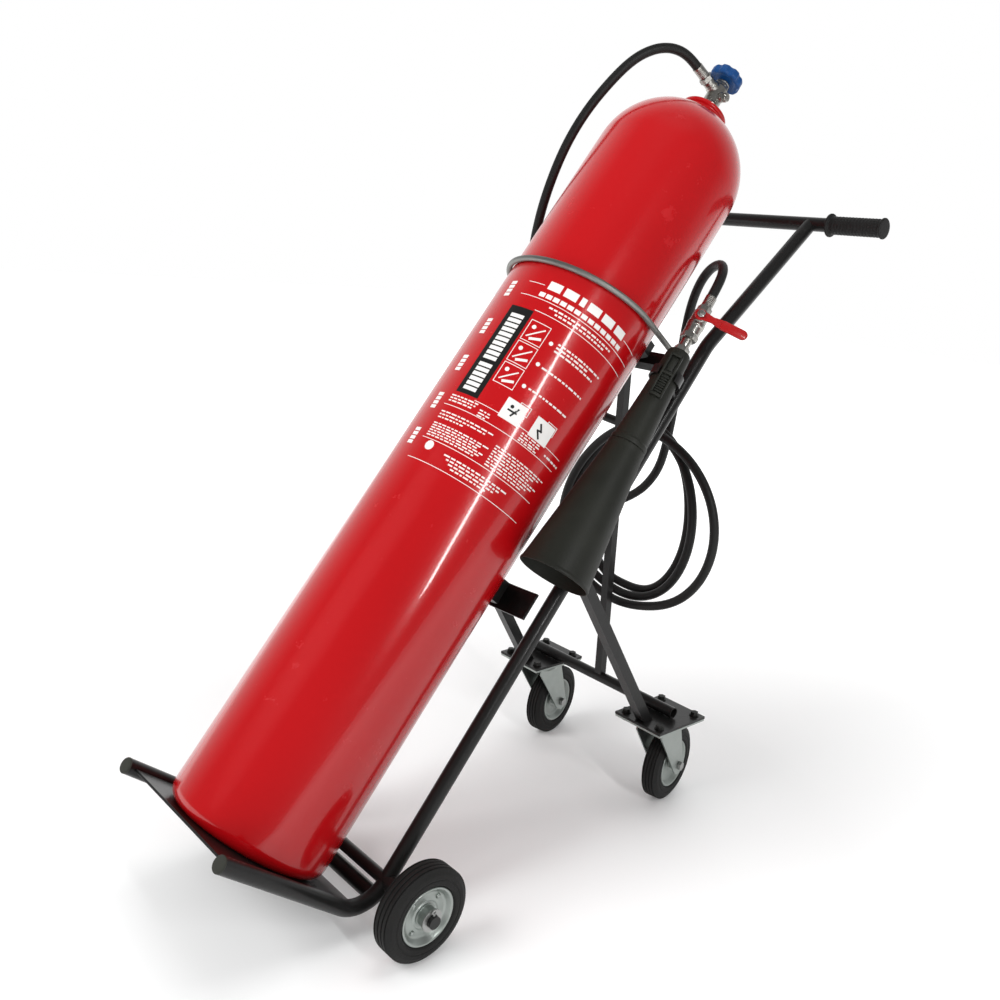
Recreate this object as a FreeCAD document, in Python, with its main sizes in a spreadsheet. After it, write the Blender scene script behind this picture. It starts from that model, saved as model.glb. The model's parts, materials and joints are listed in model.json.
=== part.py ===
import FreeCAD, Part
import math
import os

import Sketcher

# Wheeled carbon dioxide extinguisher. Millimetres, +Z up, standing on z = 0.
# X runs along the axle, Y from the foot plate to the handle.
# The cylinder leans back. Its own directions are "tilt": x across, n away from the
# cylinder towards the side tubes, a along the cylinder from its base.

DIMENSIONS = {
    # lean and where the middle of the cylinder's base stands
    "lean_angle": 36.9, "base_back": -468.55, "base_height": 126.0,
    # gas cylinder
    "cylinder_radius": 133.5, "cylinder_wall": 7.5, "base_corner": 24.0,
    "shoulder_height": 1308.0, "neck_radius": 32.0, "neck_top": 1462.0, "thread_radius": 13.0,
    "ring_radius": 45.0, "ring_bottom": 1426.0, "ring_top": 1457.0,
    "dip_radius": 6.0,
    # cylinder valve
    "valve_body_radius": 16.0, "outlet_height": 1508.0, "bonnet_height": 1520.0,
    "wheel_knob_height": 1532.0, "wheel_knob_radius": 31.0, "wheel_knob_thick": 18.0,
    "outlet_turn": 13.4, "outlet_reach": 63.0,
    # frame tubes
    "tube_radius": 12.7, "tube_wall": 2.0, "tube_spacing": 150.7, "tube_back": 162.1,
    "prong_length": 305.4, "prong_drop": 4.0, "foot_bend": 60.0, "knee_height": 1082.0,
    "handle_angle": 49.4, "handle_length": 347.5,
    "grip_start": 190.0, "grip_end": 298.7, "grip_radius": 16.5,
    "plate_thick": 4.0, "plate_depth": 284.0,
    "crossbar_height": 1030.0, "crossbar_side": 25.0,
    "saddle_height": 529.0, "saddle_width": 48.0, "strip_thick": 5.0,
    "leg_side": 20.0, "leg_top": 627.0, "leg_foot_x": 161.0, "leg_foot_y": 271.3,
    "strut_side": 16.0, "rear_tube_radius": 10.65, "rear_tube_reach": 189.0,
    "rear_y": 321.6, "rear_z": 206.5,
    # caster mounting
    "mount_x": 162.3, "mount_y": 317.3, "mount_top": 195.0, "mount_thick": 5.0,
    "mount_wide": 109.0, "mount_long": 136.0, "bolt_x": 40.0, "bolt_y": 52.5,
    # wheels
    "wheel_radius": 75.0, "wheel_x": 239.5, "tyre_width": 40.0, "rim_radius": 47.5,
    "axle_radius": 10.0, "axle_reach": 274.0, "axle_offset": 3.0,
    "caster_tyre_width": 36.0, "caster_trail": 58.0, "caster_angle": 10.0,
    # U-bolt
    "rod_radius": 5.0, "ring_gap": 1.3, "ring_height": 1018.0, "ring_tip": 5.7, "ring_close": 5.3,
    # horn and its ball valve
    "horn_x": 184.0, "horn_n": 91.0, "horn_mouth": 580.0, "horn_lean": 2.0,
    "horn_mouth_radius": 61.0, "horn_seam": 246.0, "horn_seam_radius": 31.0,
    "horn_top": 435.0, "horn_top_radius": 20.5, "horn_wall": 3.0,
    "pivot_height": 503.0, "ferrule_start": 524.0, "ferrule_end": 552.0, "lever_length": 84.0,
    "lever_turn": 37.0,
    # hose, its hanging coil and the hook that carries the coil
    "hose_radius": 8.5, "coil_middle_x": 6.0, "coil_middle_z": 543.0, "coil_front": 334.0,
    "turn_gap": 18.4, "coil_high": 180.0, "coil_low": 188.0, "coil_left": 188.0,
    "hook_radius": 5.0, "hook_height": 709.0, "hook_tip": 399.0,
}

# The hose's course in mm, from the valve's ferrule to the coil and from the coil to the
# horn's ferrule. The coil's own turns are worked out by coil_points.
FEED_COURSE = [
    (-14.6, 387.8, 1368.7), (-19.2, 372.2, 1380.4), (-26.8, 350.7, 1389.5), (-36.8, 327.9, 1391.2),
    (-49.0, 303.0, 1384.3), (-64.8, 275.0, 1365.2), (-84.0, 247.5, 1329.0), (-110.0, 219.0, 1275.0),
    (-131.0, 199.0, 1218.0), (-149.0, 187.0, 1155.0), (-165.0, 181.0, 1086.0),
    (-177.0, 183.0, 1014.0), (-184.0, 194.0, 945.0), (-188.0, 214.0, 884.0), (-189.0, 243.0, 831.0),
    (-184.0, 277.0, 790.0), (-167.0, 306.0, 758.0), (-131.0, 326.0, 734.0), (-84.0, 333.0, 723.0)]
TAIL_COURSE = [
    (-80.0, 385.0, 400.0), (-106.0, 388.5, 422.0), (-121.0, 392.0, 452.0), (-123.0, 396.0, 487.0),
    (-110.5, 399.5, 519.0), (-86.0, 402.5, 542.0), (-51.0, 404.0, 562.0), (-17.0, 405.0, 590.0),
    (12.0, 404.0, 634.0), (21.0, 405.0, 684.0), (26.0, 404.0, 736.0), (29.0, 404.5, 801.0),
    (28.0, 402.5, 867.0), (32.0, 400.5, 918.0), (43.0, 394.5, 963.0), (61.0, 387.0, 999.0),
    (85.4, 376.9, 1022.5), (113.3, 362.0, 1032.1), (138.5, 340.9, 1029.1), (156.4, 317.1, 1014.7),
    (163.6, 295.5, 992.2), (164.3, 283.5, 976.2)]
TURN_POINTS, COIL_START, COIL_STEPS = 14, 103.0, 36


class Size:
    # A number that remembers the spreadsheet expression it came from.
    def __init__(self, value, text):
        self.value, self.text = float(value), text

    def join(self, other, sign, value, swapped=False):
        text = other.text if isinstance(other, Size) else "%.6g" % other
        pair = (text, self.text) if swapped else (self.text, text)
        return Size(value, "(%s %s %s)" % (pair[0], sign, pair[1]))

    def __float__(self):
        return self.value

    def __add__(self, other):
        return self.join(other, "+", self.value + float(other))

    def __radd__(self, other):
        return self.join(other, "+", float(other) + self.value, True)

    def __sub__(self, other):
        return self.join(other, "-", self.value - float(other))

    def __rsub__(self, other):
        return self.join(other, "-", float(other) - self.value, True)

    def __mul__(self, other):
        return self.join(other, "*", self.value * float(other))

    def __rmul__(self, other):
        return self.join(other, "*", float(other) * self.value, True)

    def __truediv__(self, other):
        return self.join(other, "/", self.value / float(other))

    def __neg__(self):
        return Size(-self.value, "(0 - %s)" % self.text)


doc = FreeCAD.newDocument("wheeled_extinguisher")
sheet = doc.addObject("Spreadsheet::Sheet", "Dims")
for row, (alias, number) in enumerate(DIMENSIONS.items(), start=1):
    sheet.set("A%d" % row, alias)
    sheet.set("B%d" % row, str(number))
    sheet.setAlias("B%d" % row, alias)
doc.recompute()

dim = {alias: Size(number, "Dims." + alias) for alias, number in DIMENSIONS.items()}
num = dict(DIMENSIONS)
V = FreeCAD.Vector
AXIS_X, AXIS_Y, AXIS_Z = V(1, 0, 0), V(0, 1, 0), V(0, 0, 1)
ACROSS = FreeCAD.Rotation(AXIS_Y, 90)     # stands a part's own Z along +X
nodes = {}


# ---------- places ----------

def turn(axis, degrees):
    return FreeCAD.Rotation(axis, degrees)


def world(x=0, y=0, z=0, rotation=None):
    return FreeCAD.Placement(V(float(x), float(y), float(z)), rotation or FreeCAD.Rotation())


TILT = world(0, num["base_back"], num["base_height"], turn(AXIS_X, -num["lean_angle"]))


def tilt(x=0, n=0, a=0, rotation=None):
    return TILT.multiply(world(x, n, a, rotation))


def tilt_point(x, n, a):
    return TILT.multVec(V(float(x), float(n), float(a)))


def between(start, end, spin=0):
    # a place at start whose own Z points to end
    rotation = FreeCAD.Rotation(AXIS_Z, end - start)
    return FreeCAD.Placement(start, rotation.multiply(turn(AXIS_Z, spin)))


# ---------- document objects ----------

def bind(thing, **sizes):
    for name, size in sizes.items():
        if isinstance(size, Size):
            setattr(thing, name, size.value)
            thing.setExpression(name, size.text)
        else:
            setattr(thing, name, size)
    return thing


def make(kind, name, place=None, **sizes):
    thing = bind(doc.addObject(kind, name), **sizes)
    if place is not None:
        thing.Placement = place
    return thing


def rod(name, radius, length, place):
    return make("Part::Cylinder", name, place, Radius=radius, Height=length)


def cone(name, low, high, length, place):
    return make("Part::Cone", name, place, Radius1=low, Radius2=high, Height=length)


def block(name, long, wide, high, place):
    # long, wide and high along the place's own X, Y and Z, centred in X and Y
    centre = place.multiply(world(-float(long) / 2, -float(wide) / 2))
    return make("Part::Box", name, centre, Length=long, Width=wide, Height=high)


def hexagon(name, across_flats, high, place):
    return make("Part::Prism", name, place, Polygon=6, Height=high,
                Circumradius=across_flats * 0.57735)


def fuse(name, parts):
    return make("Part::MultiFuse", name, Shapes=parts, Refine=True)


def cut(name, base, tool):
    return make("Part::Cut", name, Base=base, Tool=tool, Refine=True)


def group(name, parts):
    return make("Part::Compound", name, Links=parts)


def shaped(name, shape, place=None):
    thing = doc.addObject("Part::Feature", name)
    thing.Shape = shape
    if place is not None:
        thing.Placement = place
    return thing


def node(name, thing):
    thing.Label = name
    nodes[name] = thing
    return thing


def pipe(name, radius, wall, length, place):
    outer = rod(name + "_outside", radius, length, place)
    inner = rod(name + "_inside", radius - wall, length + 2, place.multiply(world(0, 0, -1)))
    return cut(name, outer, inner)


def square_pipe(name, side, wall, length, place):
    outer = block(name + "_outside", side, side, length, place)
    hollow = side - 2 * wall
    inner = block(name + "_inside", hollow, hollow, length + 2, place.multiply(world(0, 0, -1)))
    return cut(name, outer, inner)


def plane_of(body, role):
    return [part for part in body.Origin.OriginFeatures if part.Role == role][0]


def outline(body, name, role, points):
    # a closed outline whose corners are each held by the sheet's sizes
    sketch = body.newObject("Sketcher::SketchObject", name)
    sketch.AttachmentSupport = [(plane_of(body, role), "")]
    sketch.MapMode = "FlatFace"
    flat = [V(float(x), float(y), 0) for x, y in points]
    sides = len(flat)
    for i in range(sides):
        sketch.addGeometry(Part.LineSegment(flat[i], flat[(i + 1) % sides]), False)
    for i in range(sides):
        sketch.addConstraint(Sketcher.Constraint("Coincident", i, 2, (i + 1) % sides, 1))
    for i, point in enumerate(points):
        for word, size in zip(("DistanceX", "DistanceY"), point):
            held = sketch.addConstraint(Sketcher.Constraint(word, -1, 1, i, 1, float(size)))
            if isinstance(size, Size):
                sketch.setExpression("Constraints[%d]" % held, size.text)
    return sketch


def turned(name, points, place):
    # a body of revolution about its own Z, from points of radius and height
    body = doc.addObject("PartDesign::Body", name)
    sketch = outline(body, name + "_outline", "XZ_Plane", points)
    revolution = body.newObject("PartDesign::Revolution", name + "_turned")
    revolution.Profile = sketch
    revolution.ReferenceAxis = (sketch, ["V_Axis"])
    revolution.Angle = 360
    sketch.Visibility = False
    body.Placement = place
    return body


def padded(name, points, high, place):
    body = doc.addObject("PartDesign::Body", name)
    sketch = outline(body, name + "_outline", "XY_Plane", points)
    pad = body.newObject("PartDesign::Pad", name + "_pad")
    pad.Profile = sketch
    bind(pad, Length=high)
    body.Placement = place
    return body


def arc_points(centre, radius, start, end, steps):
    # points on an arc in a turned outline, worked out from the sheet's sizes
    points = []
    for i in range(steps + 1):
        angle = math.radians(start + (end - start) * i / steps)
        points.append((centre[0] + radius * math.cos(angle), centre[1] + radius * math.sin(angle)))
    return points


# ---------- swept paths ----------

def unit(vector):
    return vector * (1.0 / vector.Length)


def rounded_path(points, radii):
    # straight runs joined by tangent arcs; radii holds one radius for each inner point
    edges, last = [], points[0]
    for i in range(1, len(points) - 1):
        corner, radius = points[i], radii[i - 1]
        back, ahead = unit(points[i - 1] - corner), unit(points[i + 1] - corner)
        half = (math.pi - back.getAngle(ahead)) / 2
        reach = radius * math.tan(half)
        start, end = corner + back * reach, corner + ahead * reach
        middle = corner + unit(back + ahead) * (radius / math.cos(half) - radius)
        if (start - last).Length > 1e-6:
            edges.append(Part.LineSegment(last, start).toShape())
        edges.append(Part.Arc(start, middle, end).toShape())
        last = end
    edges.append(Part.LineSegment(last, points[-1]).toShape())
    return Part.Wire(edges)


def sweep(path, radius, wall=0.0):
    # a round bar or tube carried along a path
    start = path.OrderedVertexes[0].Point
    ahead = path.OrderedEdges[0].tangentAt(path.OrderedEdges[0].FirstParameter)
    if (path.OrderedEdges[0].valueAt(path.OrderedEdges[0].FirstParameter) - start).Length > 1e-6:
        ahead = ahead * -1
    outside = path.makePipeShell([Part.Wire(Part.makeCircle(radius, start, ahead))], True, False)
    if not wall:
        return outside
    bore = Part.Wire(Part.makeCircle(radius - wall, start, ahead))
    return outside.cut(path.makePipeShell([bore], True, False))


# ---------- gas cylinder and its valve ----------

def gas_cylinder():
    r, wall, corner = dim["cylinder_radius"], dim["cylinder_wall"], dim["base_corner"]
    shoulder, neck, bore = dim["shoulder_height"], dim["neck_radius"], dim["thread_radius"]
    inside = r - wall
    neck_meets = 90 - math.degrees(math.asin(num["neck_radius"] / num["cylinder_radius"]))
    bore_meets = 90 - math.degrees(math.asin(num["thread_radius"] / float(inside)))
    points = [(0, 14)] + arc_points((r - corner, corner), corner, -90, 0, 6)
    points += arc_points((0, shoulder), r, 0, neck_meets, 16)
    points += [(neck, dim["neck_top"]), (bore, dim["neck_top"])]
    points += arc_points((0, shoulder), inside, bore_meets, 0, 16)
    points += arc_points((inside - corner, corner + wall), corner, 0, -90, 6)
    points += [(0, 26)]
    node("cylinder_shell", turned("cylinder_shell", points, tilt()))

    ring, low, top = dim["ring_radius"], dim["ring_bottom"], dim["ring_top"]
    points = [(neck + 0.05, low), (ring - 3, low), (ring - 1, low + 6), (ring - 1, top - 10),
              (ring, top - 7), (ring, top - 3), (ring - 3, top), (neck + 0.05, top)]
    node("neck_ring", turned("neck_ring", points, tilt()))
    dip = dim["neck_top"] - 28 - 40
    node("dip_tube", pipe("dip_tube", dim["dip_radius"], 1.2, dip, tilt(0, 0, 40)))


def outlet_place(distance=0.0):
    # a place on the valve outlet's axis, its own Z pointing out of the valve
    angle = math.radians(num["outlet_turn"])
    out = V(-math.sin(angle), -math.cos(angle), 0)
    start = tilt_point(0, 0, num["outlet_height"])
    reach = TILT.Rotation.multVec(out)
    return between(start + reach * distance, start + reach * (distance + 1))


def cylinder_valve():
    top, body = dim["neck_top"], dim["valve_body_radius"]
    stem = rod("valve_thread", dim["thread_radius"] - 0.02, 28, tilt(0, 0, top - 28))
    flange = hexagon("valve_hexagon", 34, 12, tilt(0, 0, top))
    barrel = rod("valve_barrel", body, dim["bonnet_height"] - top - 12, tilt(0, 0, top + 12))
    bonnet = rod("valve_bonnet", 13.5, dim["wheel_knob_height"] - dim["bonnet_height"] - 1.5,
                 tilt(0, 0, dim["bonnet_height"]))
    outlet = rod("valve_outlet", 11, 30, outlet_place())
    plug_boss = rod("valve_plug_boss", 8, 22, tilt(0, 0, 1496, ACROSS))
    solid = fuse("valve_solid", [stem, flange, barrel, bonnet, outlet, plug_boss])
    well = rod("valve_well", 4.05, 60, tilt(0, 0, 1490))
    gas_way = rod("valve_gas_way", 3, 60, tilt(0, 0, top - 30))
    outlet_bore = rod("valve_outlet_bore", 3, 34, outlet_place())
    bores = fuse("valve_bores", [well, gas_way, outlet_bore])
    node("valve_body", cut("valve_body", solid, bores))
    cap = hexagon("plug_cap", 15, 8, tilt(22, 0, 1496, ACROSS))
    vent = rod("plug_vent", 1.5, 10, tilt(21, 0, 1496, ACROSS))
    node("burst_disc_plug", cut("burst_disc_plug", cap, vent))
    nut = hexagon("valve_ferrule_nut", 22, 10, outlet_place(30))
    sleeve = rod("valve_ferrule_sleeve", 9.6, dim["outlet_reach"] - 40, outlet_place(40))
    node("valve_ferrule", fuse("valve_ferrule", [nut, sleeve]))


def handwheel():
    low, high = dim["wheel_knob_height"], dim["wheel_knob_thick"]
    spindle = rod("spindle_rod", 4.0, 58, tilt(0, 0, low - 34))
    square = block("spindle_square", 7, 7, high - 6, tilt(0, 0, low))
    node("valve_spindle", fuse("valve_spindle", [spindle, square]))
    disc = rod("handwheel_disc", dim["wheel_knob_radius"], high, tilt(0, 0, low))
    round_edge = make("Part::Fillet", "handwheel_round", Base=disc)
    round_edge.Edges = [(1, 3.0, 3.0), (3, 3.0, 3.0)]
    scoops = []
    for i in range(8):
        place = tilt(0, 0, low - 1, turn(AXIS_Z, 45 * i)).multiply(world(dim["wheel_knob_radius"] + 6))
        scoops.append(rod("handwheel_scoop_%d" % i, 9, high + 2, place))
    scoops.append(rod("handwheel_recess", 19, 7, tilt(0, 0, low + high - 6)))
    scoops.append(rod("handwheel_hub_hole", 5.0, high + 2, tilt(0, 0, low - 1)))
    node("handwheel", cut("handwheel", round_edge, fuse("handwheel_scoops", scoops)))
    node("handwheel_nut", cut("handwheel_nut", hexagon("handwheel_nut_hexagon", 13, 6, tilt(0, 0, low + 12)),
                              rod("handwheel_nut_hole", 4.02, 8, tilt(0, 0, low + 11))))


# ---------- frame ----------

def side_path(x):
    back, foot = num["tube_back"], -num["prong_drop"]
    points = [tilt_point(x, back - num["prong_length"], foot), tilt_point(x, back, foot),
              tilt_point(x, back, num["knee_height"])]
    return rounded_path(points, [num["foot_bend"]])


def handle_points(x):
    knee = tilt_point(x, num["tube_back"], num["knee_height"])
    angle = math.radians(num["handle_angle"])
    ahead = V(0, math.sin(angle), math.cos(angle))
    return knee, knee + ahead * num["handle_length"], ahead


def axle_centre():
    # the axle crosses the side tubes at the height of the wheels' radius
    n = num["tube_back"] - num["axle_offset"]
    lean = math.radians(num["lean_angle"])
    a = (num["wheel_radius"] - num["base_height"] + n * math.sin(lean)) / math.cos(lean)
    return tilt_point(0, n, a)


def axle_place(x):
    centre = axle_centre()
    return world(x, centre.y, centre.z, ACROSS)


def frame_tubes():
    radius, wall = num["tube_radius"], num["tube_wall"]
    for side, sign in (("right", 1), ("left", -1)):
        x = sign * num["tube_spacing"]
        tube = shaped("side_tube_%s_bent" % side, sweep(side_path(x), radius, wall))
        hole = rod("side_tube_%s_hole" % side, dim["axle_radius"] + 0.02, 40, axle_place(x - 20))
        node("side_tube_" + side, cut("side_tube_" + side, tube, hole))
        knee, end, ahead = handle_points(x)
        handle = pipe("handle_tube_" + side, dim["tube_radius"], dim["tube_wall"],
                      dim["handle_length"] - dim["tube_radius"] - 7, between(knee + ahead * 7, end))
        node("handle_tube_" + side, handle)


def handle_and_grips():
    _, end, _ = handle_points(0)
    reach = dim["grip_end"] - 3
    node("handle_bar", pipe("handle_bar", dim["tube_radius"], dim["tube_wall"], 2 * reach,
                            world(-float(reach), end.y, end.z, ACROSS)))
    bore, r = dim["tube_radius"] + 0.05, dim["grip_radius"]
    long = dim["grip_end"] - dim["grip_start"]
    points = [(bore, 0), (r + 4.5, 0), (r + 4.5, 5), (r, 7), (r - 0.8, long * 0.5), (r, long - 6),
              (r + 2, long - 4), (r + 2, long), (3, long), (3, long - 2.8), (bore, long - 2.8)]
    for side, sign in (("right", 1), ("left", -1)):
        facing = turn(AXIS_Y, 90 * sign)
        place = world(sign * num["grip_start"], end.y, end.z, facing)
        node("grip_" + side, turned("grip_" + side, points, place))


def foot():
    back, drop = dim["tube_back"], dim["prong_drop"]
    inner = 2 * (dim["tube_spacing"] - dim["tube_radius"])
    caps = []
    for side, sign in (("right", 1), ("left", -1)):
        place = tilt(sign * num["tube_spacing"], back - dim["prong_length"] - 3, -drop, turn(AXIS_X, -90))
        caps.append(rod("prong_cap_" + side, dim["tube_radius"], 3, place))
    node("prong_caps", group("prong_caps", caps))
    middle = back - dim["plate_depth"] / 2 - 12
    node("foot_plate", block("foot_plate", inner, dim["plate_depth"], dim["plate_thick"],
                             tilt(0, middle, -drop)))
    place = tilt(-(dim["tube_spacing"] - dim["tube_radius"] + 0.2), back + 3, 26, ACROSS)
    node("foot_cross_tube", pipe("foot_cross_tube", dim["tube_radius"], dim["tube_wall"],
                                 inner + 0.4, place))


def curved_strip(name, half_angle, radius, thick, wide, place):
    # a strip bent to an arc about the place's own Z, hollow side towards -Y
    ring = cut(name + "_ring", rod(name + "_out", radius + thick, wide, place),
               rod(name + "_in", radius, wide + 2, place.multiply(world(0, 0, -1))))
    reach = 2 * math.sin(math.radians(half_angle)) * (float(radius) + float(thick))
    keep = block(name + "_keep", reach, radius, wide, place.multiply(world(0, dim["cylinder_radius"])))
    return make("Part::Common", name, Base=ring, Tool=keep)


def rests():
    side, thick, wide = dim["crossbar_side"], dim["strip_thick"], dim["saddle_width"]
    inner = 2 * (dim["tube_spacing"] - dim["tube_radius"])
    back, high = dim["tube_back"], dim["crossbar_height"]
    bar = square_pipe("crossbar_bar", side, 2, inner, tilt(-float(inner) / 2, back, high, ACROSS))
    pad = curved_strip("crossbar_pad", 32, dim["cylinder_radius"] + 0.2, 15, 24,
                       tilt(0, 0, high - 12))
    drilled = [rod("crossbar_hole_%d" % sign, dim["rod_radius"] + 0.3, 60, u_bolt_leg(sign, 128))
               for sign in (1, -1)]
    node("upper_crossbar", cut("upper_crossbar", fuse("crossbar_welded", [bar, pad]),
                               fuse("crossbar_holes", drilled)))
    low = dim["saddle_height"] - wide / 2
    strip_radius = 620.0
    strip_back = num["tube_back"] - 8
    ring = cut("saddle_ring", rod("saddle_out", strip_radius, wide, tilt(0, strip_back - strip_radius, low)),
               rod("saddle_in", strip_radius - thick, wide + 2, tilt(0, strip_back - strip_radius, low - 1)))
    keep = block("saddle_keep", inner, 60, wide, tilt(0, strip_back, low))
    strip = make("Part::Common", "saddle_strip", Base=ring, Tool=keep)
    cradle = curved_strip("saddle_cradle", 32, dim["cylinder_radius"] + 0.2, 16, wide - 8,
                          tilt(0, 0, low + 4))
    node("lower_saddle", fuse("lower_saddle", [strip, cradle]))


def leg_ends(sign):
    top = tilt_point(sign * num["tube_spacing"], num["tube_back"] + 4, num["leg_top"])
    return top, V(sign * num["leg_foot_x"], num["leg_foot_y"], num["mount_top"])


def strut_line():
    top = tilt_point(0, num["tube_back"], num["crossbar_height"])
    low = V(0, num["rear_y"], num["rear_z"])
    return top, low, unit(low - top)


def legs_and_strut():
    for side, sign in (("right", 1), ("left", -1)):
        top, foot_end = leg_ends(sign)
        ahead = unit(top - foot_end)
        place = between(foot_end - ahead * 20, top)
        flat = place.Rotation.multVec(AXIS_X)
        spin = -math.degrees(math.atan2(flat.y, flat.x)) if abs(flat.z) < 0.9 else 0
        place = between(foot_end - ahead * 20, top, spin)
        long = (top - foot_end).Length + 20
        raw = square_pipe("leg_%s_raw" % side, dim["leg_side"], 2, long - 4, place)
        floor = block("leg_%s_trim" % side, 120, 120, 60,
                      world(sign * num["leg_foot_x"], num["leg_foot_y"], num["mount_top"] - 60))
        cross = rod("leg_%s_rear" % side, dim["rear_tube_radius"] + 0.05, 400,
                    world(-200 + sign * 150, num["rear_y"], num["rear_z"], ACROSS))
        tube = rod("leg_%s_tube" % side, dim["tube_radius"] + 0.05, 200,
                   tilt(sign * num["tube_spacing"], dim["tube_back"], dim["leg_top"] - 100))
        node("leg_" + side, cut("leg_" + side, raw, fuse("leg_%s_cuts" % side, [floor, cross, tube])))
    top, low, down = strut_line()
    place = between(low - down * (num["rear_tube_radius"] - 2), top)
    long = (top - low).Length - num["rear_tube_radius"] - 8
    raw = square_pipe("strut_raw", dim["strut_side"], 1.5, long, place)
    trims = fuse("strut_trims", [
        rod("strut_low_trim", dim["rear_tube_radius"] + 0.05, 80,
            world(-40, num["rear_y"], num["rear_z"], ACROSS)),
        block("strut_top_trim", 80, dim["crossbar_side"] + 0.1, dim["crossbar_side"] + 0.1,
              tilt(0, dim["tube_back"], dim["crossbar_height"] - 12.55))])
    node("centre_strut", cut("centre_strut", raw, trims))
    node("rear_cross_tube", pipe("rear_cross_tube", dim["rear_tube_radius"], dim["tube_wall"],
                                 2 * dim["rear_tube_reach"],
                                 world(-num["rear_tube_reach"], num["rear_y"], num["rear_z"], ACROSS)))


# ---------- casters ----------

def mount_corners():
    return [(sx * num["bolt_x"], sy * num["bolt_y"]) for sx in (1, -1) for sy in (1, -1)]


def caster_mounts():
    top, thick = dim["mount_top"], dim["mount_thick"]
    plates, bolts, tops = [], [], []
    for side, sign in (("right", 1), ("left", -1)):
        x, y = sign * num["mount_x"], num["mount_y"]
        plate = block("mount_sheet_" + side, dim["mount_wide"], dim["mount_long"], thick,
                      world(x, y, top - thick))
        sheet_top = float(top - thick) - 0.1
        lower = block("caster_sheet_" + side, dim["mount_wide"] - 1, dim["mount_long"] - 2, 4,
                      world(x, y, sheet_top - 4))
        race = rod("caster_race_" + side, 34, 11.6, world(x, y, sheet_top - 15.6))
        pin = rod("caster_pin_" + side, 8, 16.2, world(x, y, sheet_top - 20.2))
        pin_head = rod("caster_pin_head_" + side, 13, 5, world(x, y, sheet_top - 25.2))
        holes, more = [], []
        for i, (dx, dy) in enumerate(mount_corners()):
            spot = (side, i)
            holes.append(rod("mount_hole_%s_%d" % spot, 4.3, 20, world(x + dx, y + dy, top - 15)))
            more.append(rod("caster_hole_%s_%d" % spot, 4.3, 20, world(x + dx, y + dy, top - 15)))
            shank = rod("bolt_shank_%s_%d" % spot, 4, 18, world(x + dx, y + dy, sheet_top - 7))
            head = hexagon("bolt_head_%s_%d" % spot, 13, 5.3, world(x + dx, y + dy, sheet_top - 9.4))
            washer = rod("bolt_washer_%s_%d" % spot, 9, 1.6, world(x + dx, y + dy, top + 0.05))
            nut = hexagon("bolt_nut_%s_%d" % spot, 13, 6.5, world(x + dx, y + dy, top + 1.65))
            bolts.append(fuse("caster_bolt_%s_%d" % spot, [shank, head, washer, nut]))
        plates.append(cut("caster_mount_" + side, plate, fuse("mount_holes_" + side, holes)))
        body = fuse("caster_top_" + side, [lower, race, pin, pin_head])
        tops.append(cut("caster_top_plate_" + side, body, fuse("caster_holes_" + side, more)))
    node("caster_mount_plates", group("caster_mount_plates", plates))
    node("caster_bolts", group("caster_bolts", bolts))
    node("caster_top_plates", group("caster_top_plates", tops))


def caster_frame(sign):
    # place of a caster's wheel centre: its own X along the wheel's axle, its own Y trailing
    facing = turn(AXIS_Z, num["caster_angle"])
    plate = world(sign * num["mount_x"], num["mount_y"], 0, facing)
    return plate, plate.multiply(world(0, num["caster_trail"], num["wheel_radius"]))


def caster_fork(side, sign):
    plate, wheel = caster_frame(sign)
    crown_low = num["mount_top"] - num["mount_thick"] - 20.0
    inner, sheet_thick = 25.0, 3.0
    crown = rod("fork_crown_%s" % side, 37, 4, plate.multiply(world(0, 0, crown_low)))
    tongue = block("fork_tongue_%s" % side, 2 * (inner + sheet_thick), 44, 4,
                   plate.multiply(world(0, 16, crown_low)))
    cheeks = []
    for way in (1, -1):
        cheek_x = inner if way > 0 else -inner - sheet_thick
        shape = [(-34, crown_low + 4), (-36, crown_low - 6), (num["caster_trail"] - 14, 62),
                 (num["caster_trail"], 57), (num["caster_trail"] + 14, 62),
                 (num["caster_trail"] + 17, 76), (38, crown_low + 4)]
        face = turn(V(1, 1, 1), 120)      # own X, Y, Z become Y, Z, X
        cheeks.append(padded("fork_cheek_%s_%d" % (side, way), shape, sheet_thick,
                             plate.multiply(world(cheek_x, 0, 0, face))))
    solid = fuse("fork_solid_" + side, [crown, tongue] + cheeks)
    pin_hole = rod("fork_pin_hole_" + side, 8.05, 30, plate.multiply(world(0, 0, crown_low - 10)))
    bolt_hole = rod("fork_bolt_hole_" + side, 5.02, 80, wheel.multiply(world(-40, 0, 0, ACROSS)))
    node("caster_fork_" + side, cut("caster_fork_" + side, solid,
                                    fuse("fork_holes_" + side, [pin_hole, bolt_hole])))
    shank = rod("caster_axle_shank_" + side, 5, 64, wheel.multiply(world(-30, 0, 0, ACROSS)))
    head = hexagon("caster_axle_head_" + side, 16, 6.4, wheel.multiply(world(28.1, 0, 0, ACROSS)))
    nut = hexagon("caster_axle_nut_" + side, 16, 8, wheel.multiply(world(-36.1, 0, 0, ACROSS)))
    node("caster_axle_" + side, fuse("caster_axle_" + side, [shank, head, nut]))


def tyre_points(wide, grooves):
    # half a tyre's section: flat side walls, a crowned tread and round grooves in it
    r, rim, half = dim["wheel_radius"], dim["rim_radius"], wide / 2
    points = [(rim + 0.05, -half + 3), (rim + 4, -half), (r - 9, -half + 1), (r - 3, -half + 5)]
    for middle in grooves:
        points += [(r - 0.6, middle - 2), (r - 2.6, middle - 1),
                   (r - 2.6, middle + 1), (r - 0.6, middle + 2)]
        if middle < 0:
            points += [(r, 0)]
    points += [(r - 3, half - 5), (r - 9, half - 1), (rim + 4, half), (rim + 0.05, half - 3)]
    return points


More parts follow.
